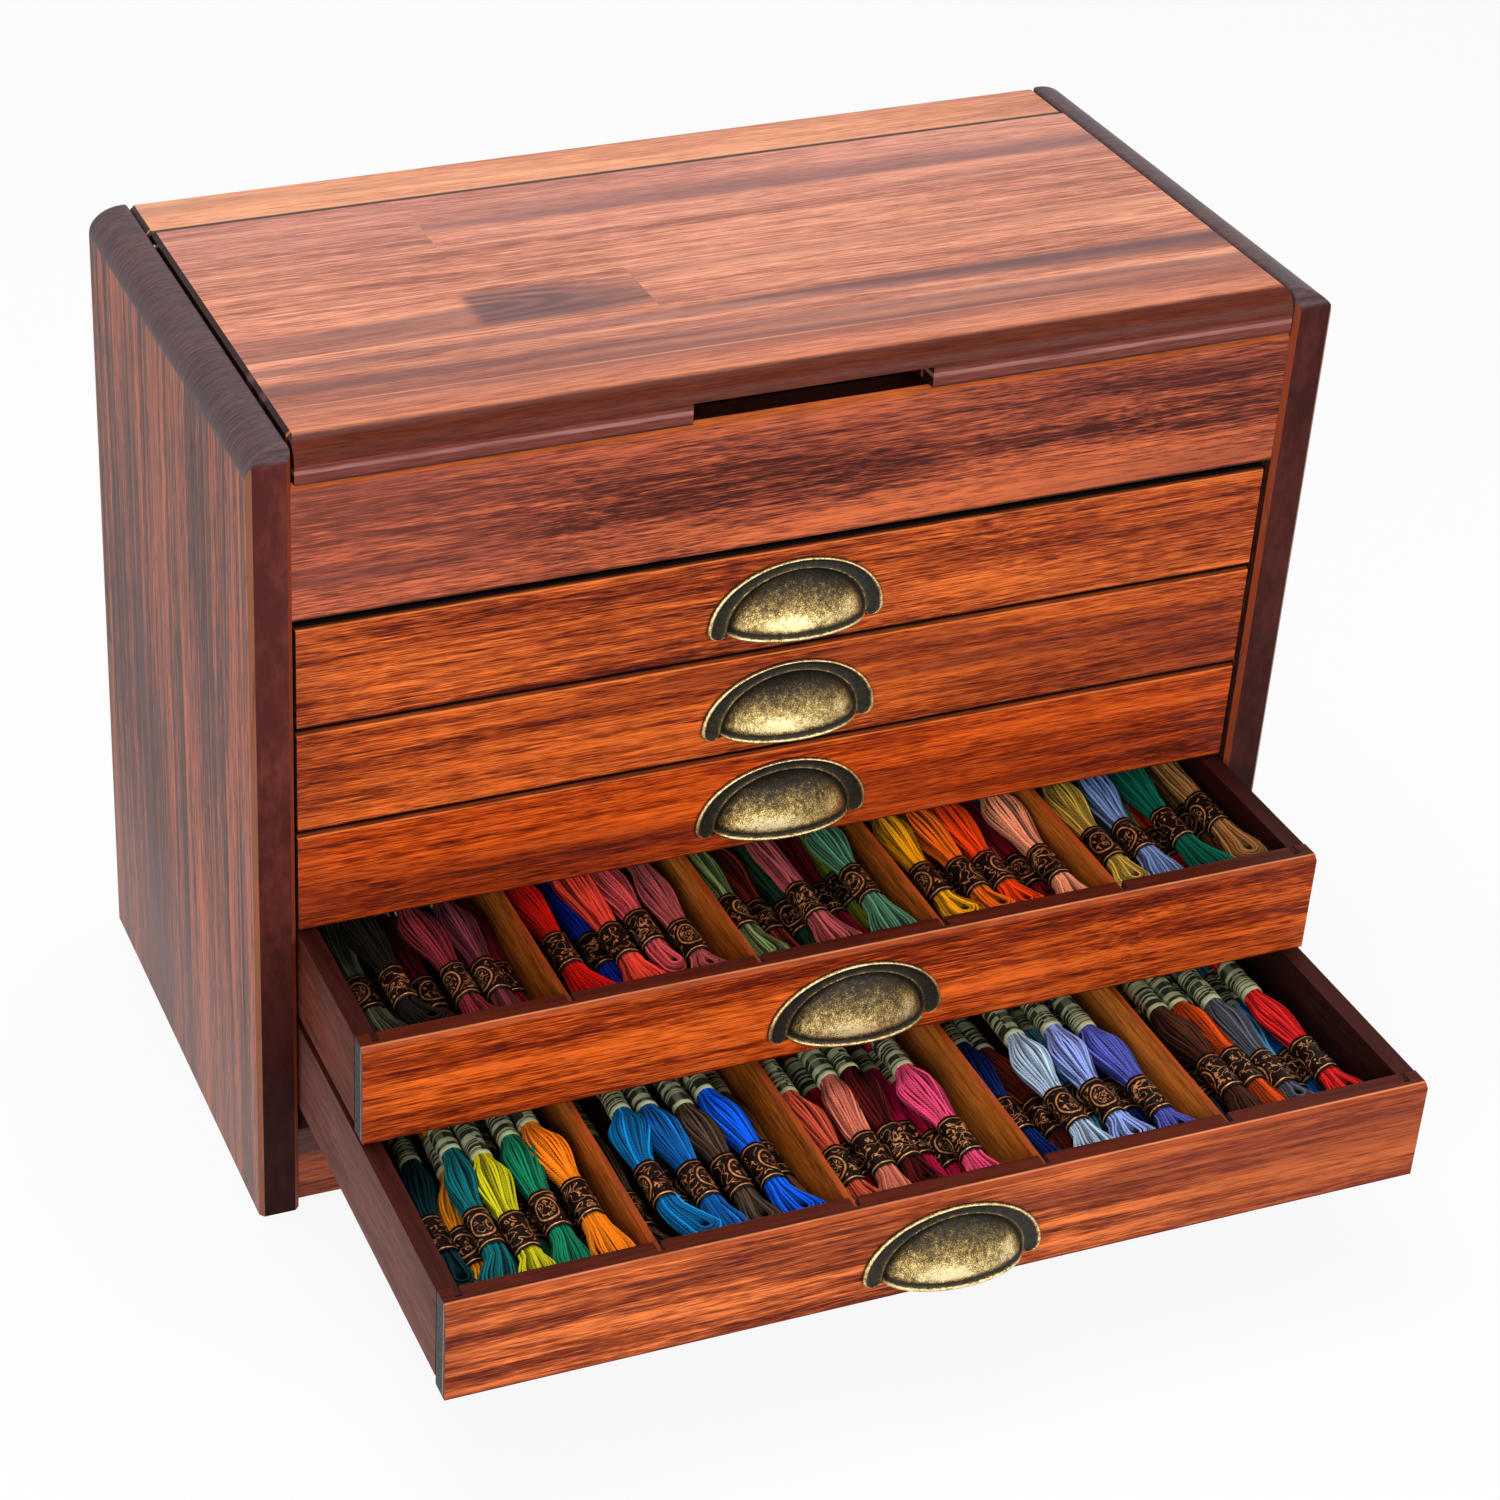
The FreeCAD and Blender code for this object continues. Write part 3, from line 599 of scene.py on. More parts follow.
def grid_faces(rows, columns, start=0, closed=False):
    """Quads between rows of points. Closed rows are rings."""
    here = start + np.arange(rows * columns).reshape(rows, columns)
    after = np.roll(here, -1, axis=1)
    if not closed:
        here, after = here[:, :-1], after[:, :-1]
    return np.stack([here[:-1], after[:-1], after[1:], here[1:]], axis=-1).reshape(-1, 4)


# ---------- cup pulls, in millimetres
FLANGE_HALF, FLANGE_RISE = 42.0, 30.0  # the half width and the rise of the flange's arch
ARCH_FOOT, EAR, EAR_DROP = 2.4, 11.5, 1.6  # the arch starts above the lip, and its ears hang below it
CUP_HALF, CUP_RISE, CUP_OUT, CUP_WALL = 32.0, 27.2, 15.0, 1.6
PULL_UP = 10.7  # from a drawer front's lower edge to the lip
# Painted highlights on the cup: place across and up it, half width, half height and strength.
PAINTED_HIGHLIGHTS = ((-0.28, 0.28, 0.34, 0.16, 0.42), (0.70, 0.42, 0.16, 0.18, 0.38))
# The flange's profile from its outer edge to the cup: share of the way, height and wear.
RIM = ((0.00, 0.0, 0.2), (0.00, 1.2, 0.8), (0.03, 1.75, 1.0), (0.08, 2.0, 1.0), (0.13, 1.85, 0.75),
       (0.19, 1.45, 0.18), (0.36, 1.3, 0.16), (0.55, 1.28, 0.16), (0.66, 1.4, 0.2), (0.72, 1.75, 0.55),
       (0.76, 1.8, 0.6), (0.81, 1.5, 0.1), (0.9, 1.1, 0.0), (1.0, 1.1, 0.0), (1.0, 0.0, 0.0))
# The cup's lip from below: height, how far it flares and wear.
LIP = ((0.0, 0.35, 0.95), (0.25, 1.0, 1.0), (0.8, 1.12, 1.0), (1.35, 0.95, 0.95), (1.9, 0.3, 0.3),
       (2.6, -0.25, 0.0), (3.3, -0.1, 0.15), (4.2, 0.0, 0.55))
LIP_TOP = 2.2  # above this height the painted reflection and highlights follow the cup's form


def pull_flange():
    """The rimmed flange: its vertices, its faces and the wear of each vertex."""
    ear_steps, arch_steps, reach_in = 14, 72, 0.955
    middle = FLANGE_HALF - EAR / 2
    ear = []
    for i in range(ear_steps):
        turn = math.pi / 2 * (1 - i / ear_steps)
        z = ARCH_FOOT - (ARCH_FOOT + EAR_DROP) * math.sin(turn)
        reach = EAR / 2 * math.cos(turn) ** 0.7
        ear.append((middle + reach, z, middle - reach, z))
    arch = []
    for i in range(arch_steps + 1):
        turn = math.pi * i / arch_steps
        arch.append((FLANGE_HALF * math.cos(turn), ARCH_FOOT + FLANGE_RISE * math.sin(turn),
                     (FLANGE_HALF - EAR) * math.cos(turn),
                     ARCH_FOOT + (CUP_RISE - ARCH_FOOT) * math.sin(turn) * reach_in))
    stations = ear + arch + [(-outer_x, outer_z, -inner_x, inner_z)
                             for outer_x, outer_z, inner_x, inner_z in reversed(ear)]
    verts = [(outer_x + (inner_x - outer_x) * share, -out, outer_z + (inner_z - outer_z) * share)
             for outer_x, outer_z, inner_x, inner_z in stations for share, out, rub in RIM]
    wear_and_shine = [rub for share, out, rub in RIM] * len(stations)
    return verts, grid_faces(len(stations), len(RIM)).tolist(), wear_and_shine


def dome_shine_and_wear(base, across, up, facing):
    """The cup's outside: its painted reflection, less to its sides, with the painted highlights added."""
    spots = sum(amount * math.exp(-((across - x) / broad) ** 2 - ((up - z) / tall) ** 2)
                for x, z, broad, tall, amount in PAINTED_HIGHLIGHTS)
    return base * (0.45 + 0.55 * facing ** 0.5) + spots


def pull_cup(start):
    """The hollow cup, in half ellipses from the lip up, outside and then inside."""
    columns, dome_rows, inner_rows = 61, 26, 16
    rows = list(LIP)
    first = math.asin(LIP[-1][0] / CUP_RISE)
    for i in range(1, dome_rows + 1):
        z = CUP_RISE * math.sin(first + (math.pi / 2 - first) * i / dome_rows)
        # painted reflection: the dome bright at its foot and dark at its top
        rows.append((z, 0.0, 0.98 - 0.80 * (z / CUP_RISE) ** 1.3))
    turns = [math.pi * k / (columns - 1) for k in range(columns)]
    verts, wear_and_shine = [], []
    for z, flare, base in rows:
        share = math.sqrt(max(0.0, 1.0 - (z / CUP_RISE) ** 2))
        for turn in turns:
            verts.append(((CUP_HALF * share + flare) * math.cos(turn),
                          -max(0.0, CUP_OUT * share + flare) * math.sin(turn) - 0.15, z))
            wear_and_shine.append(dome_shine_and_wear(base, share * math.cos(turn), z / CUP_RISE, math.sin(turn))
                        if z > LIP_TOP else base)
    inside = start + len(verts)
    for i in range(inner_rows):
        rise = math.pi / 2 * i / (inner_rows - 1)
        for turn in turns:
            verts.append(((CUP_HALF - CUP_WALL) * math.cos(rise) * math.cos(turn),
                          -(CUP_OUT - CUP_WALL) * math.cos(rise) * math.sin(turn) - 0.1,
                          (CUP_RISE - CUP_WALL) * math.sin(rise)))
            wear_and_shine.append(0.05)
    faces = grid_faces(len(rows), columns, start)[:, ::-1].tolist()
    faces += grid_faces(inner_rows, columns, inside).tolist()
    faces += [(start + k, start + k + 1, inside + k + 1, inside + k) for k in range(columns - 1)]
    return verts, faces, wear_and_shine


flange_verts, flange_faces, flange_wear = pull_flange()
cup_verts, cup_faces, cup_wear_and_shine = pull_cup(len(flange_verts))
for index in DRAWERS:
    low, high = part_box("drawer_%d_front" % index)
    pull = mesh_object("cup_pull_%d" % index, flange_verts + cup_verts, flange_faces + cup_faces,
                       (0.0, low.y, low.z + PULL_UP * MM), [brass])
    set_attribute(pull, "wear_and_shine", "FLOAT", flange_wear + cup_wear_and_shine)
    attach(pull, "drawer_%d" % index)
    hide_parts("drawer_%d_pull" % index)

# ---------- thread skeins
PALETTE = {
    "deep teal": (6, 52, 58), "teal": (10, 98, 104), "lime": (186, 186, 22), "emerald": (14, 124, 86),
    "amber": (236, 136, 22), "mustard": (226, 146, 18), "sky": (12, 140, 214), "azure": (20, 116, 204),
    "umber": (78, 64, 50), "royal": (6, 96, 232), "bottle": (10, 66, 44), "brown": (92, 58, 38),
    "russet": (184, 78, 54), "red": (186, 10, 14), "salmon": (216, 124, 100), "maroon": (86, 14, 14),
    "magenta": (176, 14, 66), "crimson": (176, 18, 62), "rose pink": (226, 76, 122), "navy": (8, 40, 104),
    "rust": (124, 44, 28), "ice": (176, 206, 228), "periwinkle": (148, 172, 236), "violet": (92, 104, 200),
    "blush": (214, 168, 150), "cocoa": (66, 36, 22), "orange rust": (206, 76, 16), "slate": (84, 88, 100),
    "light sky": (94, 172, 206), "mid blue": (10, 84, 150), "scarlet": (212, 34, 36),
    "sage": (108, 114, 88), "black brown": (24, 18, 14), "plum": (132, 44, 52), "mauve": (118, 52, 62),
    "burgundy": (110, 20, 26), "bright red": (206, 20, 10), "blue": (14, 44, 170), "coral": (228, 72, 54),
    "rose": (206, 82, 88), "taupe": (158, 92, 84), "dusty pink": (190, 92, 94),
    "pale green": (128, 152, 92), "forest": (30, 62, 38), "wine": (132, 12, 34),
    "yellow green": (110, 124, 34), "mint": (92, 152, 118), "gold": (226, 166, 12), "cherry": (206, 26, 34),
    "tangerine": (244, 74, 12), "burnt orange": (224, 106, 16), "peach": (250, 172, 130),
    "white": (206, 196, 190), "straw": (226, 196, 84), "light blue": (120, 152, 204),
    "spring": (70, 168, 118), "vermilion": (206, 48, 18), "sea green": (6, 112, 88), "tan": (164, 116, 64),
}

# Every skein: colour, layer, distances in millimetres of its tip, its band and its neck from the left wall of
# its cell, of its tip and its band from the drawer front, and the widths of its belly and of its spread tip.
SKEINS = {
    (5, 0): (("deep teal", 0, 12, 12, 17, 20, 45, 13, 14), ("mustard", 0, 22, 22, 31, 18, 34, 16, 13),
             ("teal", 1, 20, 27, 31, 4, 30, 15, 19), ("lime", 1, 39, 40, 42, 4, 22, 17, 17),
             ("teal", 0, 33, 36, 40, 18, 40, 14, 14), ("emerald", 1, 54, 57, 58, 4, 31, 17, 18),
             ("bottle", 0, 51, 51, 52, 18, 42, 14, 14), ("amber", 1, 74, 73, 69, 4, 34, 19, 20)),
    (5, 1): (("sky", 1, 28, 18, 22, 5, 34, 18, 18), ("azure", 1, 39, 36, 34, 4, 29, 17, 17),
             ("umber", 1, 53, 52, 50, 4, 30, 18, 19), ("royal", 1, 72, 67, 63, 4, 32, 17, 22),
             ("emerald", 0, 31, 29, 33, 20, 42, 14, 14), ("umber", 0, 13, 9, 9, 14, 34, 13, 18),
             ("bottle", 0, 55, 56, 58, 22, 46, 14, 13), ("brown", 0, 78, 78, 76, 22, 46, 13, 13)),
    (5, 2): (("russet", 1, 14, 11, 9, 4, 20, 17, 15), ("red", 0, 27, 26, 28, 16, 36, 14, 12),
             ("salmon", 1, 25, 27, 30, 4, 24, 14, 15), ("maroon", 1, 40, 40, 41, 4, 26, 18, 17),
             ("magenta", 0, 52, 54, 58, 18, 40, 14, 12), ("crimson", 0, 62, 64, 66, 14, 30, 17, 11),
             ("rose pink", 1, 69, 67, 65, 3, 21, 18, 17)),
    (5, 3): (("navy", 0, 18, 16, 17, 14, 42, 15, 18), ("rust", 0, 30, 30, 26, 20, 38, 16, 12),
             ("ice", 1, 33, 33, 35, 4, 26, 17, 20), ("light sky", 0, 48, 49, 51, 22, 40, 13, 11),
             ("periwinkle", 1, 52, 51, 54, 4, 26, 18, 23), ("navy", 0, 66, 67, 70, 20, 40, 13, 11),
             ("violet", 1, 75, 72, 69, 3, 22, 18, 19)),
    (5, 4): (("blush", 0, 12, 10, 9, 12, 38, 11, 11), ("cocoa", 1, 20, 21, 18, 4, 26, 18, 17),
             ("orange rust", 1, 35, 33, 29, 4, 27, 15, 15), ("blush", 0, 44, 42, 41, 24, 40, 12, 12),
             ("slate", 1, 45, 44, 44, 4, 20, 16, 14), ("light sky", 0, 58, 57, 61, 14, 28, 13, 11),
             ("mid blue", 0, 68, 67, 66, 15, 32, 13, 13), ("scarlet", 1, 71, 68, 66, 3, 24, 14, 17)),
    (4, 0): (("sage", 0, 22, 15, 15, 16, 46, 14, 22), ("black brown", 1, 34, 25, 22, 7, 29, 16, 18),
             ("maroon", 0, 45, 42, 40, 18, 36, 17, 17), ("plum", 1, 54, 52, 48, 5, 25, 18, 16),
             ("mauve", 1, 66, 66, 65, 6, 24, 17, 12), ("burgundy", 0, 78, 77, 78, 16, 34, 14, 16)),
    (4, 1): (("bright red", 1, 20, 14, 11, 4, 32, 17, 23), ("blue", 0, 38, 35, 32, 16, 42, 13, 10),
             ("coral", 1, 43, 40, 37, 5, 30, 18, 21), ("rose", 1, 57, 54, 52, 10, 34, 15, 10),
             ("taupe", 0, 66, 64, 62, 16, 32, 14, 9), ("dusty pink", 1, 72, 70, 71, 5, 22, 14, 18)),
    (4, 2): (("pale green", 1, 14, 10, 9, 8, 34, 14, 18), ("rust", 0, 28, 28, 28, 18, 42, 17, 13),
             ("forest", 0, 43, 42, 42, 16, 40, 14, 16), ("dusty pink", 1, 47, 44, 42, 6, 33, 11, 21),
             ("wine", 0, 62, 61, 61, 16, 46, 16, 16), ("yellow green", 0, 73, 73, 72, 32, 52, 12, 10),
             ("mint", 1, 74, 73, 74, 5, 38, 18, 23)),
    (4, 3): (("gold", 1, 20, 15, 16, 6, 28, 17, 21), ("cherry", 0, 32, 31, 32, 22, 42, 13, 11),
             ("burnt orange", 1, 38, 33, 32, 5, 27, 17, 16), ("tangerine", 1, 50, 47, 47, 5, 28, 18, 19),
             ("dusty pink", 0, 61, 60, 59, 16, 36, 12, 12), ("wine", 0, 70, 69, 67, 22, 38, 15, 12),
             ("peach", 1, 73, 74, 75, 3, 26, 19, 18)),
    (4, 4): (("white", 0, 12, 10, 10, 10, 46, 10, 9), ("straw", 1, 15, 15, 18, 5, 29, 18, 17),
             ("light blue", 1, 31, 32, 38, 6, 31, 17, 20), ("spring", 0, 48, 46, 52, 18, 40, 14, 12),
             ("vermilion", 0, 54, 53, 54, 16, 38, 12, 13), ("sea green", 1, 58, 54, 56, 5, 34, 17, 22),
             ("tan", 0, 78, 79, 80, 28, 52, 14, 12), ("tan", 1, 77, 76, 77, 8, 40, 11, 18)),
}
UNDER = ("brown", "navy", "maroon", "bottle", "umber", "slate")  # colours of the hidden skeins below

# In millimetres
BAND_LENGTH, LABEL_LENGTH, SKEIN_LENGTH = 24.0, 25.0, 149.0
BELLY_LENGTHS = {4: 52.0, 5: 40.0}
LAYER_DEPTHS = (27.0, 13.5)  # from the top of the drawer front down to the middle of a layer
STRAND_RADIUS = 0.56
CELLS, DIVIDER = 5, 3.0  # a drawer's cells and the thickness of the dividers between them
FRONT_LOOP = 8.2  # from a skein's tip to where the strands of an open loop turn
dice = np.random.default_rng(23)


def ease(s, places, values):
    """Values at s between stations, with a smooth step from one to the next."""
    places, values = np.asarray(places, float), np.asarray(values, float)
    k = np.clip(np.searchsorted(places, s, side="right") - 1, 0, len(places) - 2)
    t = np.clip((s - places[k]) / (places[k + 1] - places[k]), 0, 1)
    return values[k] + (values[k + 1] - values[k]) * t * t * (3 - 2 * t)


def unit(vectors):
    return vectors / np.maximum(np.linalg.norm(vectors, axis=-1, keepdims=True), 1e-9)


def tubes(paths, radius, sides):
    """Closed tubes round closed paths of equal length: their vertices and faces."""
    count, steps = paths.shape[:2]
    along = unit(np.roll(paths, -1, axis=1) - np.roll(paths, 1, axis=1))
    side = np.empty_like(paths)
    side[:, 0] = unit(np.cross(along[:, 0], (0.0, 0.0, 1.0)))
    for k in range(1, steps):
        before = side[:, k - 1]
        side[:, k] = unit(before - along[:, k] * np.sum(before * along[:, k], axis=1, keepdims=True))
    other = np.cross(along, side)
    turn = 2 * np.pi * np.arange(sides) / sides
    ring = side[:, :, None] * np.cos(turn)[:, None] + other[:, :, None] * np.sin(turn)[:, None]
    verts = paths[:, :, None] + ring * radius
    index = np.arange(count * steps * sides).reshape(count, steps, sides)
    after = np.roll(index, -1, axis=1)
    faces = np.stack([index, np.roll(index, -1, axis=2), np.roll(after, -1, axis=2), after], axis=-1)
    return verts.reshape(-1, 3), faces.reshape(-1, 4)


def rings(middle, wide, high, turns):
    """Ellipses round the points of a middle line."""
    parts = (middle[:, :1] + wide * np.cos(turns), middle[:, 1:2], middle[:, 2:] + high * np.sin(turns))
    return np.stack(np.broadcast_arrays(*parts), axis=-1).reshape(-1, 3)


class Skein:
    """The middle line and the section of one skein, in millimetres from its cell's front left top corner.

    Along the skein come its tip, the band from front to rear, the belly up to the neck, the paper label up to
    label, and the tail.
    """

    def __init__(self, tip, band, neck, gap, band_gap, belly, fan, depth, belly_length, room):
        self.gap, self.depth, self.belly_length, self.room = gap, depth, belly_length, room
        self.front = band_gap - gap
        self.rear = self.front + BAND_LENGTH
        self.neck = self.rear + belly_length + dice.uniform(-3, 2)
        self.label = self.neck + LABEL_LENGTH
        self.total = SKEIN_LENGTH - gap
        rise = dice.uniform(-1.0, 1.0)
        self.twist = dice.uniform(-0.5, 0.5)
        tail = neck + np.clip((neck - band) * 0.35, -4, 4)
        self.line = ([0, self.front, self.rear, self.neck, self.total], [tip, band, band, neck, tail])
        self.level = ([0, self.front, self.neck, self.total], [rise + 0.6, rise, rise, rise - 0.8])
        half = belly / 2.0
        widest = self.neck - belly_length * (0.36 + 0.2 * self.twist)
        places = [0, 6, self.front - 1, self.rear + 1, widest, self.neck, self.label,
                  self.total - 12, self.total]
        self.wide = (places, [fan * 0.42, fan * 0.5, 4.6, 4.6, half, 4.0, 4.0, 7.0, 6.2])
        self.high = (places, [3.0, 4.4, 4.3, 4.3, min(6.6, half * 0.8), 4.2, 4.2, 4.8, 3.4])

    def middle(self, s):
        """Points of the middle line, held off the walls of the cell."""
        reach = ease(s, *self.wide) + 0.8
        x = np.clip(ease(s, *self.line), reach, self.room - reach)
        return np.stack([x, s + self.gap, ease(s, *self.level) - self.depth], axis=-1)

    def section(self, s):
        """Half the width and half the height."""
        return ease(s, *self.wide), ease(s, *self.high)


def half_circle(p, q, way, steps):
    """Points of a turn from p to q that bulges forward or back."""
    centre, arm = (p + q) / 2, (p - q) / 2
    turn = np.linspace(0, np.pi, steps + 2)[1:-1]
    arc = centre + arm * np.cos(turn)[:, None]
    arc[:, 1] += way * max(np.linalg.norm(arm), 0.9) * np.sin(turn)
    return arc


def skein_paths(skein, passes, looped, fine):
    """Closed thread loops round a skein: each runs to the back, turns, comes forward and turns again."""
    half = passes // 2
    number = np.arange(passes)
    angle = (number + 0.5) * 2 * np.pi / passes + dice.normal(0, 0.35 / passes, passes)
    if looped:
        pairs = [(j, (half - 1 - j) % passes) for j in range(passes) if j < (half - 1 - j) % passes]
    else:
        pairs = [(j, j + 1) for j in range(0, passes, 2)]
    shell = np.where(number % 2 == 0, 1.0, 0.86) + dice.normal(0, 0.03, passes)
    side_phase, up_phase = dice.uniform(0, 2 * np.pi, (passes, 4)).T[:2]
    tip_shares = np.array([0.25, 0.5, 0.75] if fine else [0.35, 0.7])
    belly = np.linspace(skein.rear + 2, skein.neck - 2, 12 if fine else 7)
    tail = np.linspace(skein.neck + 5, skein.total - 10, 7 if fine else 4)
    loops = []
    for pair in pairs:
        first = FRONT_LOOP if looped else 1.6 + dice.uniform(0, 4.5)
        s = np.concatenate([[first], first + (skein.front - first) * tip_shares,
                            [skein.front + 6, skein.rear - 3], belly, tail, [skein.total - 7.5]])
        wide, high = skein.section(s)
        bound = (s >= skein.front - 3) & (s <= skein.rear + 4)
        bound |= (s >= skein.neck - 3) & (s <= skein.label + 4)
        free = np.clip(s / 20.0, 0.2, 1) * ~bound
        twist = skein.twist * np.clip((s - skein.rear) / skein.belly_length, 0, 1) * (s < skein.label)
        strands = []
        for k in pair:
            across = wide * np.cos(angle[k] + twist)
            if looped:
                eye = np.clip((skein.front - 3 - s) / max(skein.front - 11.0, 3.0), 0, 1)
                side = np.cos(angle[k])
                across = np.sign(side) * (2.0 + (wide - 2.0) * abs(side)) * eye + across * (1 - eye)
            strand = skein.middle(s)
            strand[:, 0] += across * shell[k] + free * 0.45 * np.sin(s / 9.0 + side_phase[k])
            strand[:, 2] += high * np.sin(angle[k] + twist) * shell[k]
            strand[:, 2] += free * 0.35 * np.sin(s / 7.0 + up_phase[k])
            strands.append(strand)
        go, back = strands
        loops.append(np.concatenate([go[::-1], half_circle(go[0], back[0], -1.0, 7), back,
                                     half_circle(go[-1], back[-1], 1.0, 5)[::-1]]))
    return np.array(loops)


def sleeve(skein, start, stop, swell, number):
    """A paper band with turned-in edges: vertices, faces, and u and v at the corners of the faces."""
    around, along, turned_in = 28, 10, 0.7
    roll = dice.uniform(0, 1)
    crease = dice.uniform(0, 2 * np.pi, 3)
    share = np.linspace(0, 1, along + 1)
    s = np.concatenate([[start + 0.4], start + (stop - start) * share, [stop - 0.4]])
    v = np.concatenate([[0.0], share, [1.0]])
    turns = 2 * np.pi * np.arange(around) / around
    ripple = 0.16 * np.sin(3 * turns + s[:, None] * 0.35 + crease[0])
    ripple += 0.1 * np.sin(7 * turns - s[:, None] * 0.6 + crease[1])
    grow = swell + ripple
    grow[[0, -1]] -= turned_in
    wide, high = skein.section(s)
    faces = grid_faces(len(s), around, closed=True)
    row, column = faces // around, faces % around
    seam = (column == 0) & (column.max(axis=1, keepdims=True) == around - 1)
    uv = np.stack([column / around + roll + seam + number, v[row]], axis=-1)
    return rings(skein.middle(s), wide[:, None] + grow, high[:, None] + grow, turns), faces, uv


def core(skein):
    """The inside of a skein, a closed body under its strands, painted dim for the shade there: vertices,
    faces and two caps.
    """
    stations, around, share = 22, 12, 0.80
    s = np.linspace(11, skein.total - 9, stations)
    wide, high = skein.section(s)
    turns = 2 * np.pi * np.arange(around) / around
    verts = rings(skein.middle(s), share * wide[:, None], share * high[:, None], turns)
    caps = [list(range(around))[::-1], list(range(len(verts) - around, len(verts)))]
    return verts, grid_faces(stations, around, closed=True), caps


def thread_material():
    """Six-stranded cotton: each strand's own tint and tone, painted shade on the lower side of each skein, a
    rope-like twist painted as bright and dark beads that stand in for highlights, and a soft sheen.
    """
    g = Net("thread_cotton")
    plies = 5200.0  # turns of the twist, in radians per metre
    tint = g.attribute("tint", "Color")
    fluff = g.noise(g.coord, 2600.0, 2.0, 0.6)
    x, y, z = g.split(g.coord)
    # the twist, painted as bright and dark beads that stand in for the highlights along each strand
    ply = g.math("SINE", y * plies + (x + z) * plies)
    shade = g.attribute("tone") + g.sway(fluff, 1.1) + ply * 0.3
    # painted light and shade: a lit and a shaded copy of each tint, mixed by the tone, the fluff and the
    # twist
    light, deep = (1.75, 1.70, 1.68, 1.0), (0.22, 0.19, 0.21, 1.0)
    colour = g.mix(g.step(shade, -0.7, 1.0), g.tinted(tint, deep), g.tinted(tint, light))
    g.put(g.bsdf.inputs["Sheen Weight"], 0.03)
    g.put(g.bsdf.inputs["Sheen Roughness"], 0.4)
    return g.surface(colour, 0.55, g.bump(ply * 0.5 + fluff, 0.5, 0.0002), 0.06)


def band_material():
    """Dark glazed paper with copper rings, an oval frame and scrolls. Its pattern is in millimetres."""
    g = Net("band_paper")
    girth, oval_half, oval_place = 31.0, (4.6, 6.6), 8.0
    u, v = g.split(g.uv)[:2]
    number = g.math("FLOOR", u)
    around = g.math("FRACT", u) * girth
    along = v * BAND_LENGTH
    edge = g.math("MINIMUM", along, BAND_LENGTH - along)
    size = g.length((around - oval_place) / oval_half[0], (along - BAND_LENGTH / 2) / oval_half[1])
    curl = g.noise(g.join(around, along, number * 9.0), 0.2, 1.0, 0.4, 1.2)
    scroll = g.near(curl, 0.5, 0.032, 0.5625) * (g.step(edge, 3.6, 4.0) * g.step(size, 1.25, 1.35))
    stem = g.noise(g.join(around, along * 0.6, number), 0.34, 1.0, 0.4, 1.6)
    crest = g.near(stem, 0.5, 0.05) * g.step(size, 0.7, 0.78, 1.0, 0.0)
    gold = g.most(g.most(scroll, g.most(crest, g.near(size, 1.0, 0.09))), g.near(edge, 1.7, 0.40))
    gold = gold * g.step(g.noise(g.coord, 520.0, 3.0, 0.6), 0.35, 0.6, 0.35, 1.0)
    paper = g.ramp(g.noise(g.coord, 380.0, 3.0, 0.6), ((0.3, srgb(10, 5, 4)), (0.7, srgb(24, 13, 9))))
    relief = g.bump(g.noise(g.coord, 420.0), 0.3, 0.0004)
    return g.surface(g.mix(gold, paper, srgb(226, 160, 102)), g.step(gold, 0.0, 1.0, 0.42, 0.36), relief,
                     0.1, gold * 0.35)


def label_material():
    """Pale green paper with close dark cross bars of uneven width. Its pattern is in millimetres."""
    g = Net("label_paper")
    u, v = g.split(g.uv)[:2]
    number = g.math("FLOOR", u)
    along = v * LABEL_LENGTH
    bars = g.noise(g.join(along + number * 17.0, 0.0, number), 0.6, 1.0, 0.6)
    faint = g.noise(g.join(g.math("FRACT", u) * 3.0, number, 0.0), 2.0, 1.0)
    bar = g.step(bars, 0.46, 0.5) * g.step(along, 2.2, 2.6)
    bar = bar * g.step(along, LABEL_LENGTH - 3.0, LABEL_LENGTH - 2.6, 1.0, 0.0)
    bar = bar * g.step(g.step(faint, 0.4, 0.5), 0.0, 1.0, 0.75, 1.0)
    blotch = g.noise(g.coord, 160.0, 3.0, 0.6)
    paper = g.ramp(blotch, ((0.3, srgb(158, 164, 124)), (0.7, srgb(200, 202, 158))))
    relief = g.bump(g.noise(g.coord, 420.0), 0.25, 0.0004)
    return g.surface(g.mix(bar * 0.95, paper, srgb(16, 17, 14)), 0.6, relief, 0.12)


class Pile:
    """Vertices and faces of many pieces, gathered for one mesh."""

    def __init__(self):
        self.verts, self.faces, self.total = [], [], 0

    def add(self, verts, faces, caps=()):
        self.faces += (faces + self.total).tolist() + [[i + self.total for i in cap] for cap in caps]
        self.verts.append(verts)
        self.total += len(verts)

    def mesh_object(self, name, origin, materials):
        return mesh_object(name, np.concatenate(self.verts), self.faces, origin, materials)


def cell_skeins(drawer, cell, room):
    """Each skein's colour, its row, its make (strands, fine or not, sides, radius) and its depth."""
    upper = (50, True, 5, STRAND_RADIUS)
    lower = (30, False, 4, STRAND_RADIUS * 1.15)
    wanted = [(colour, row, upper if layer else lower, LAYER_DEPTHS[layer])
              for colour, layer, *row in SKEINS[(drawer, cell)]]
    bands = [row[1] for colour, layer, *row in SKEINS[(drawer, cell)] if layer == 0]
    for k in range(6):
        middle = 8.0 + k * (room - 16.0) / 5
        if all(abs(middle - band) > 8.5 for band in bands):
            row = (middle, middle, middle, 20, 42, 14, 14)
            colour = UNDER[int(dice.integers(len(UNDER)))]
            wanted.append((colour, row, (22,) + lower[1:], LAYER_DEPTHS[0] + 4.0))
    return wanted


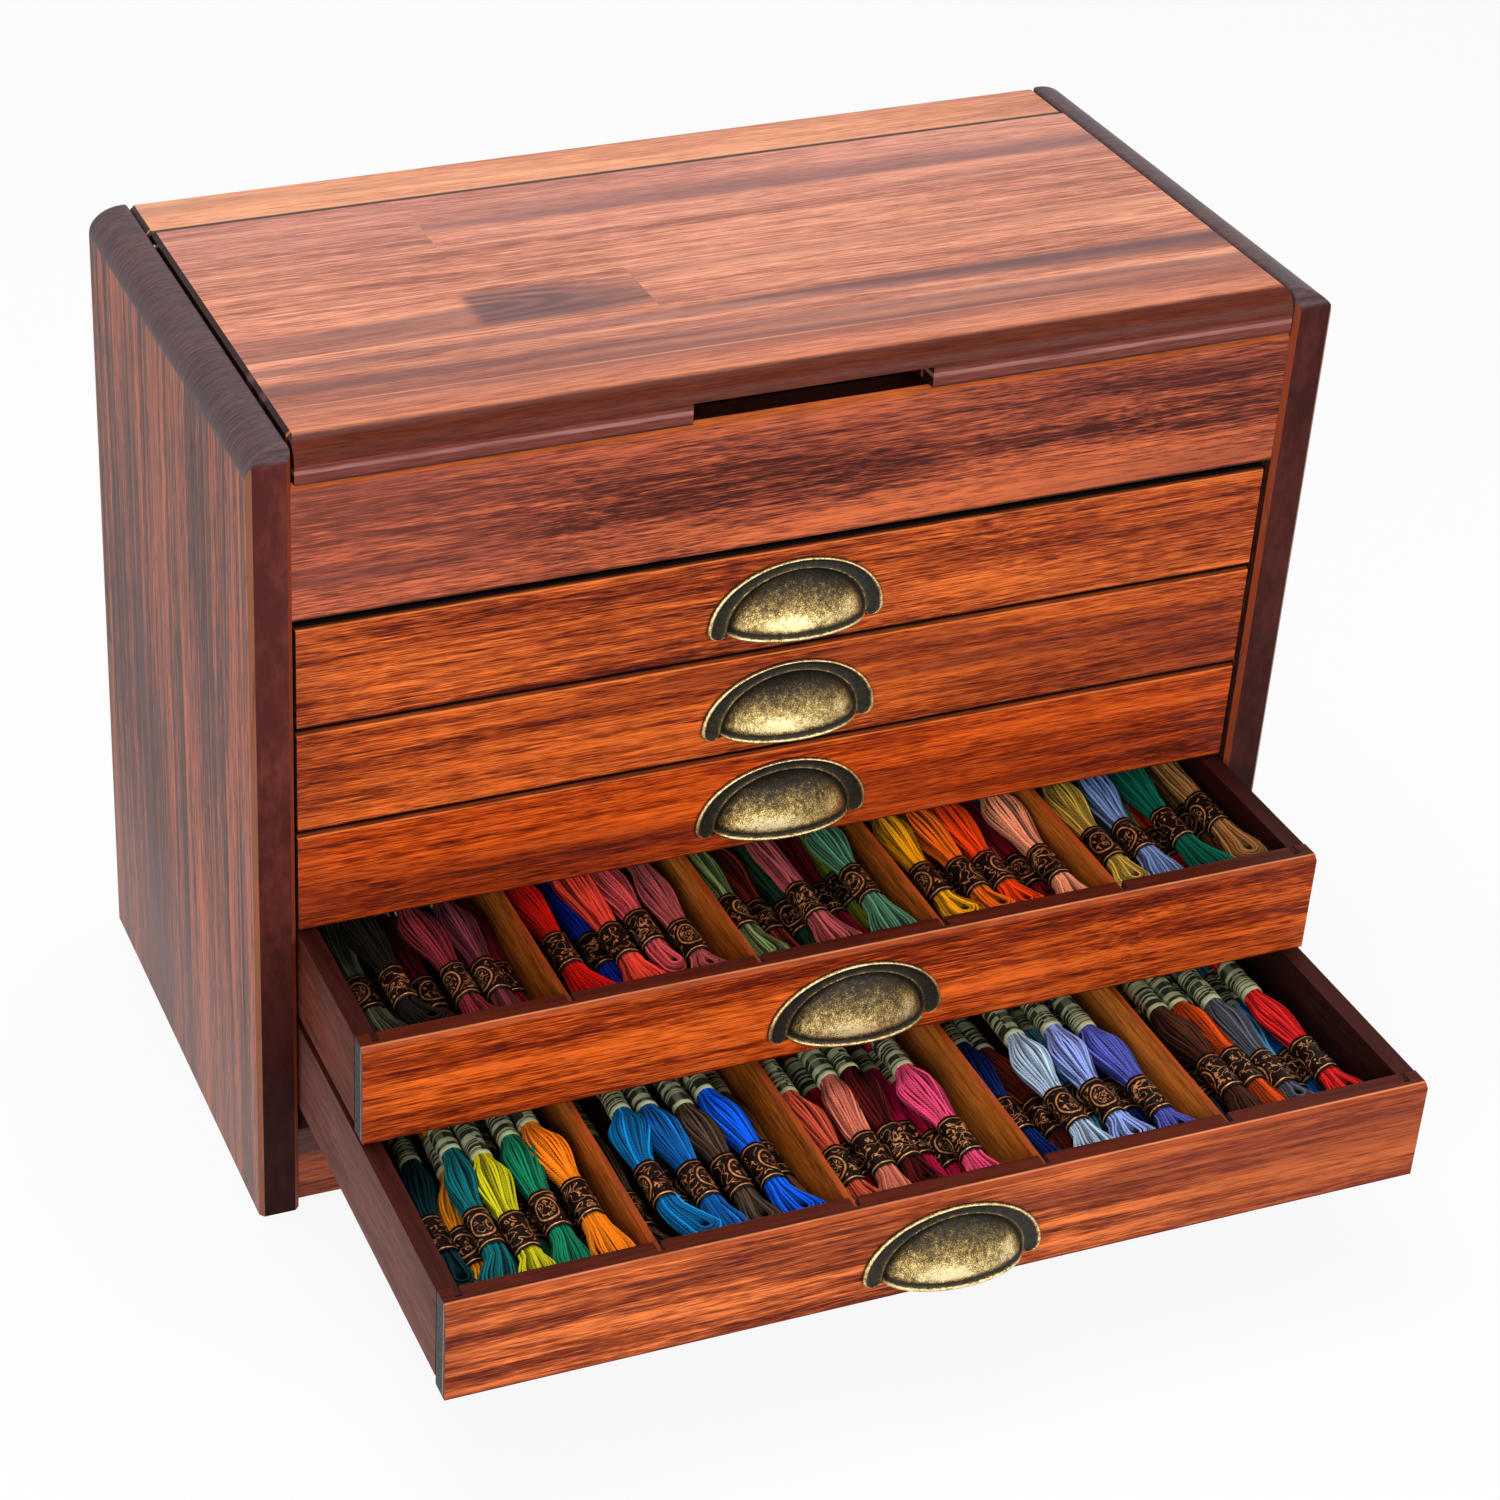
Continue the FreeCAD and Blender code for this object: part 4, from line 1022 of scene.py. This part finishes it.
def build_cell(drawer, cell, origin, room):
    """All the skeins of one cell: one mesh of thread and one of paper."""
    threads, papers = Pile(), Pile()
    tints, tones_and_shade, corners, kinds = [], [], [], []
    for number, (colour, row, make, depth) in enumerate(cell_skeins(drawer, cell, room)):
        passes, fine, sides, radius = make
        skein = Skein(*row, depth, BELLY_LENGTHS[drawer], room)
        looped = dice.random() < 0.5
        loops = skein_paths(skein, passes, looped, fine)
        verts, faces = tubes(loops, radius, sides)
        threads.add(verts, faces)
        tint = srgb(*PALETTE[colour])
        tints.append(np.tile(tint, (len(verts), 1)))
        tone = np.repeat(dice.normal(0.0, 0.42, len(loops)), len(verts) // len(loops))
        # the lower strands painted darker, which stands in for the shade under each skein
        tones_and_shade.append(tone + 0.35 * np.clip((verts[:, 2] + depth - 1.0) / 4.5, -1.0, 1.0))
        verts, faces, caps = core(skein)
        threads.add(verts, faces, caps)
        # the core's tint painted darker, which stands in for the shade inside the skein
        tints.append(np.tile(scaled(tint, 0.45), (len(verts), 1)))
        tones_and_shade.append(np.zeros(len(verts)))
        sleeves = ((skein.front, skein.rear, 1.3), (skein.neck, skein.label, 1.0))
        for kind, (start, stop, swell) in enumerate(sleeves):
            verts, faces, uv = sleeve(skein, start, stop, swell, number)
            papers.add(verts, faces)
            corners.append(uv.reshape(-1, 2))
            kinds += [kind] * len(faces)
    thread = threads.mesh_object("drawer_%d_skeins_%d" % (drawer, cell + 1), origin, [thread_mat])
    set_attribute(thread, "tint", "FLOAT_COLOR", np.concatenate(tints))
    set_attribute(thread, "tone", "FLOAT", np.concatenate(tones_and_shade))
    paper = papers.mesh_object("drawer_%d_bands_%d" % (drawer, cell + 1), origin, [band_mat, label_mat])
    paper.data.polygons.foreach_set("material_index", kinds)
    layer = paper.data.uv_layers.new(name="UVMap")
    layer.data.foreach_set("uv", np.concatenate(corners).astype(np.float32).ravel())
    for piece in (thread, paper):
        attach(piece, "drawer_%d" % drawer)
        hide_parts("drawer_%d_threads" % drawer)


thread_mat, band_mat, label_mat = thread_material(), band_material(), label_material()
for drawer in OPEN_DRAWERS:
    low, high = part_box("drawer_%d_front" % drawer)
    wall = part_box("drawer_%d_left_side" % drawer)[1].x
    room = (-2.0 * wall / MM - (CELLS - 1) * DIVIDER) / CELLS
    for cell in range(CELLS):
        build_cell(drawer, cell, (wall + cell * (room + DIVIDER) * MM, high.y, high.z), room)

# ---------- stage and light
FLOOR_HALF = 30.0


def seen_rays(tree):
    """1 for what the camera sees, also by way of gloss and glass."""
    path = tree.nodes.new("ShaderNodeLightPath")
    seen = path.outputs["Is Camera Ray"]
    for kind in ("Is Glossy Ray", "Is Transmission Ray"):
        larger = tree.nodes.new("ShaderNodeMath")
        larger.operation = "MAXIMUM"
        tree.links.new(seen, larger.inputs[0])
        tree.links.new(path.outputs[kind], larger.inputs[1])
        seen = larger.outputs[0]
    return seen


def floor_material():
    """A pale floor that the camera sees as nearly white, with the object's soft shadow kept."""
    g = Net("floor_paint")
    white = 0.9  # the share of plain white in what the camera sees
    mottle = g.noise(g.coord, 3.0)
    g.surface(g.ramp(mottle, ((0.3, (0.90, 0.90, 0.90, 1)), (0.7, (0.92, 0.92, 0.92, 1)))), 0.9)
    glow = g.add("ShaderNodeEmission")
    g.put(glow.inputs["Color"], (1, 1, 1, 1))
    g.put(glow.inputs["Strength"], 1.0)
    mix = g.add("ShaderNodeMixShader")
    g.put(mix.inputs[0], g.math("MULTIPLY", seen_rays(g.tree), white))
    g.put(mix.inputs[1], g.bsdf.outputs[0])
    g.put(mix.inputs[2], glow.outputs[0])
    g.put(g.out.inputs["Surface"], mix.outputs[0])
    return g.mat


floor_mesh = bpy.data.meshes.new("floor")
floor_mesh.from_pydata([(x * FLOOR_HALF, y * FLOOR_HALF, 0) for x, y in ((-1, -1), (1, -1), (1, 1), (-1, 1))],
                       [], [(0, 1, 2, 3)])
floor_mesh.materials.append(floor_material())
floor = bpy.data.objects.new("floor", floor_mesh)
scene.collection.objects.link(floor)

world = bpy.data.worlds.new("studio")
scene.world = world
world.use_nodes = True
tree = world.node_tree
tree.nodes.clear()
chosen = tree.nodes.new("ShaderNodeMixShader")
tree.links.new(seen_rays(tree), chosen.inputs[0])
fill, backdrop = 0.27, 1.0  # the light on the object, and the white behind it
for socket, strength in ((1, fill), (2, backdrop)):
    background = tree.nodes.new("ShaderNodeBackground")
    background.inputs["Color"].default_value = (1, 1, 1, 1)
    background.inputs["Strength"].default_value = strength
    tree.links.new(background.outputs[0], chosen.inputs[socket])
world_out = tree.nodes.new("ShaderNodeOutputWorld")
tree.links.new(chosen.outputs[0], world_out.inputs["Surface"])


def softbox(name, place, target, width, height, power):
    """A rectangular lamp that faces a point."""
    lamp = bpy.data.lights.new(name, "AREA")
    lamp.shape = "RECTANGLE"
    lamp.size = width
    lamp.size_y = height
    lamp.energy = power
    obj = bpy.data.objects.new(name, lamp)
    scene.collection.objects.link(obj)
    obj.location = place
    obj.rotation_euler = (Vector(target) - Vector(place)).to_track_quat("-Z", "Y").to_euler()


softbox("front_left", (-1.3, -1.9, 1.0), (0, 0, 0.15), 1.0, 1.2, 28.0)
softbox("front_right", (1.1, -2.0, 0.7), (0, 0, 0.15), 0.8, 1.0, 18.0)
softbox("top", (-0.2, 0.5, 2.2), (0, 0, 0.2), 1.6, 1.2, 30.0)
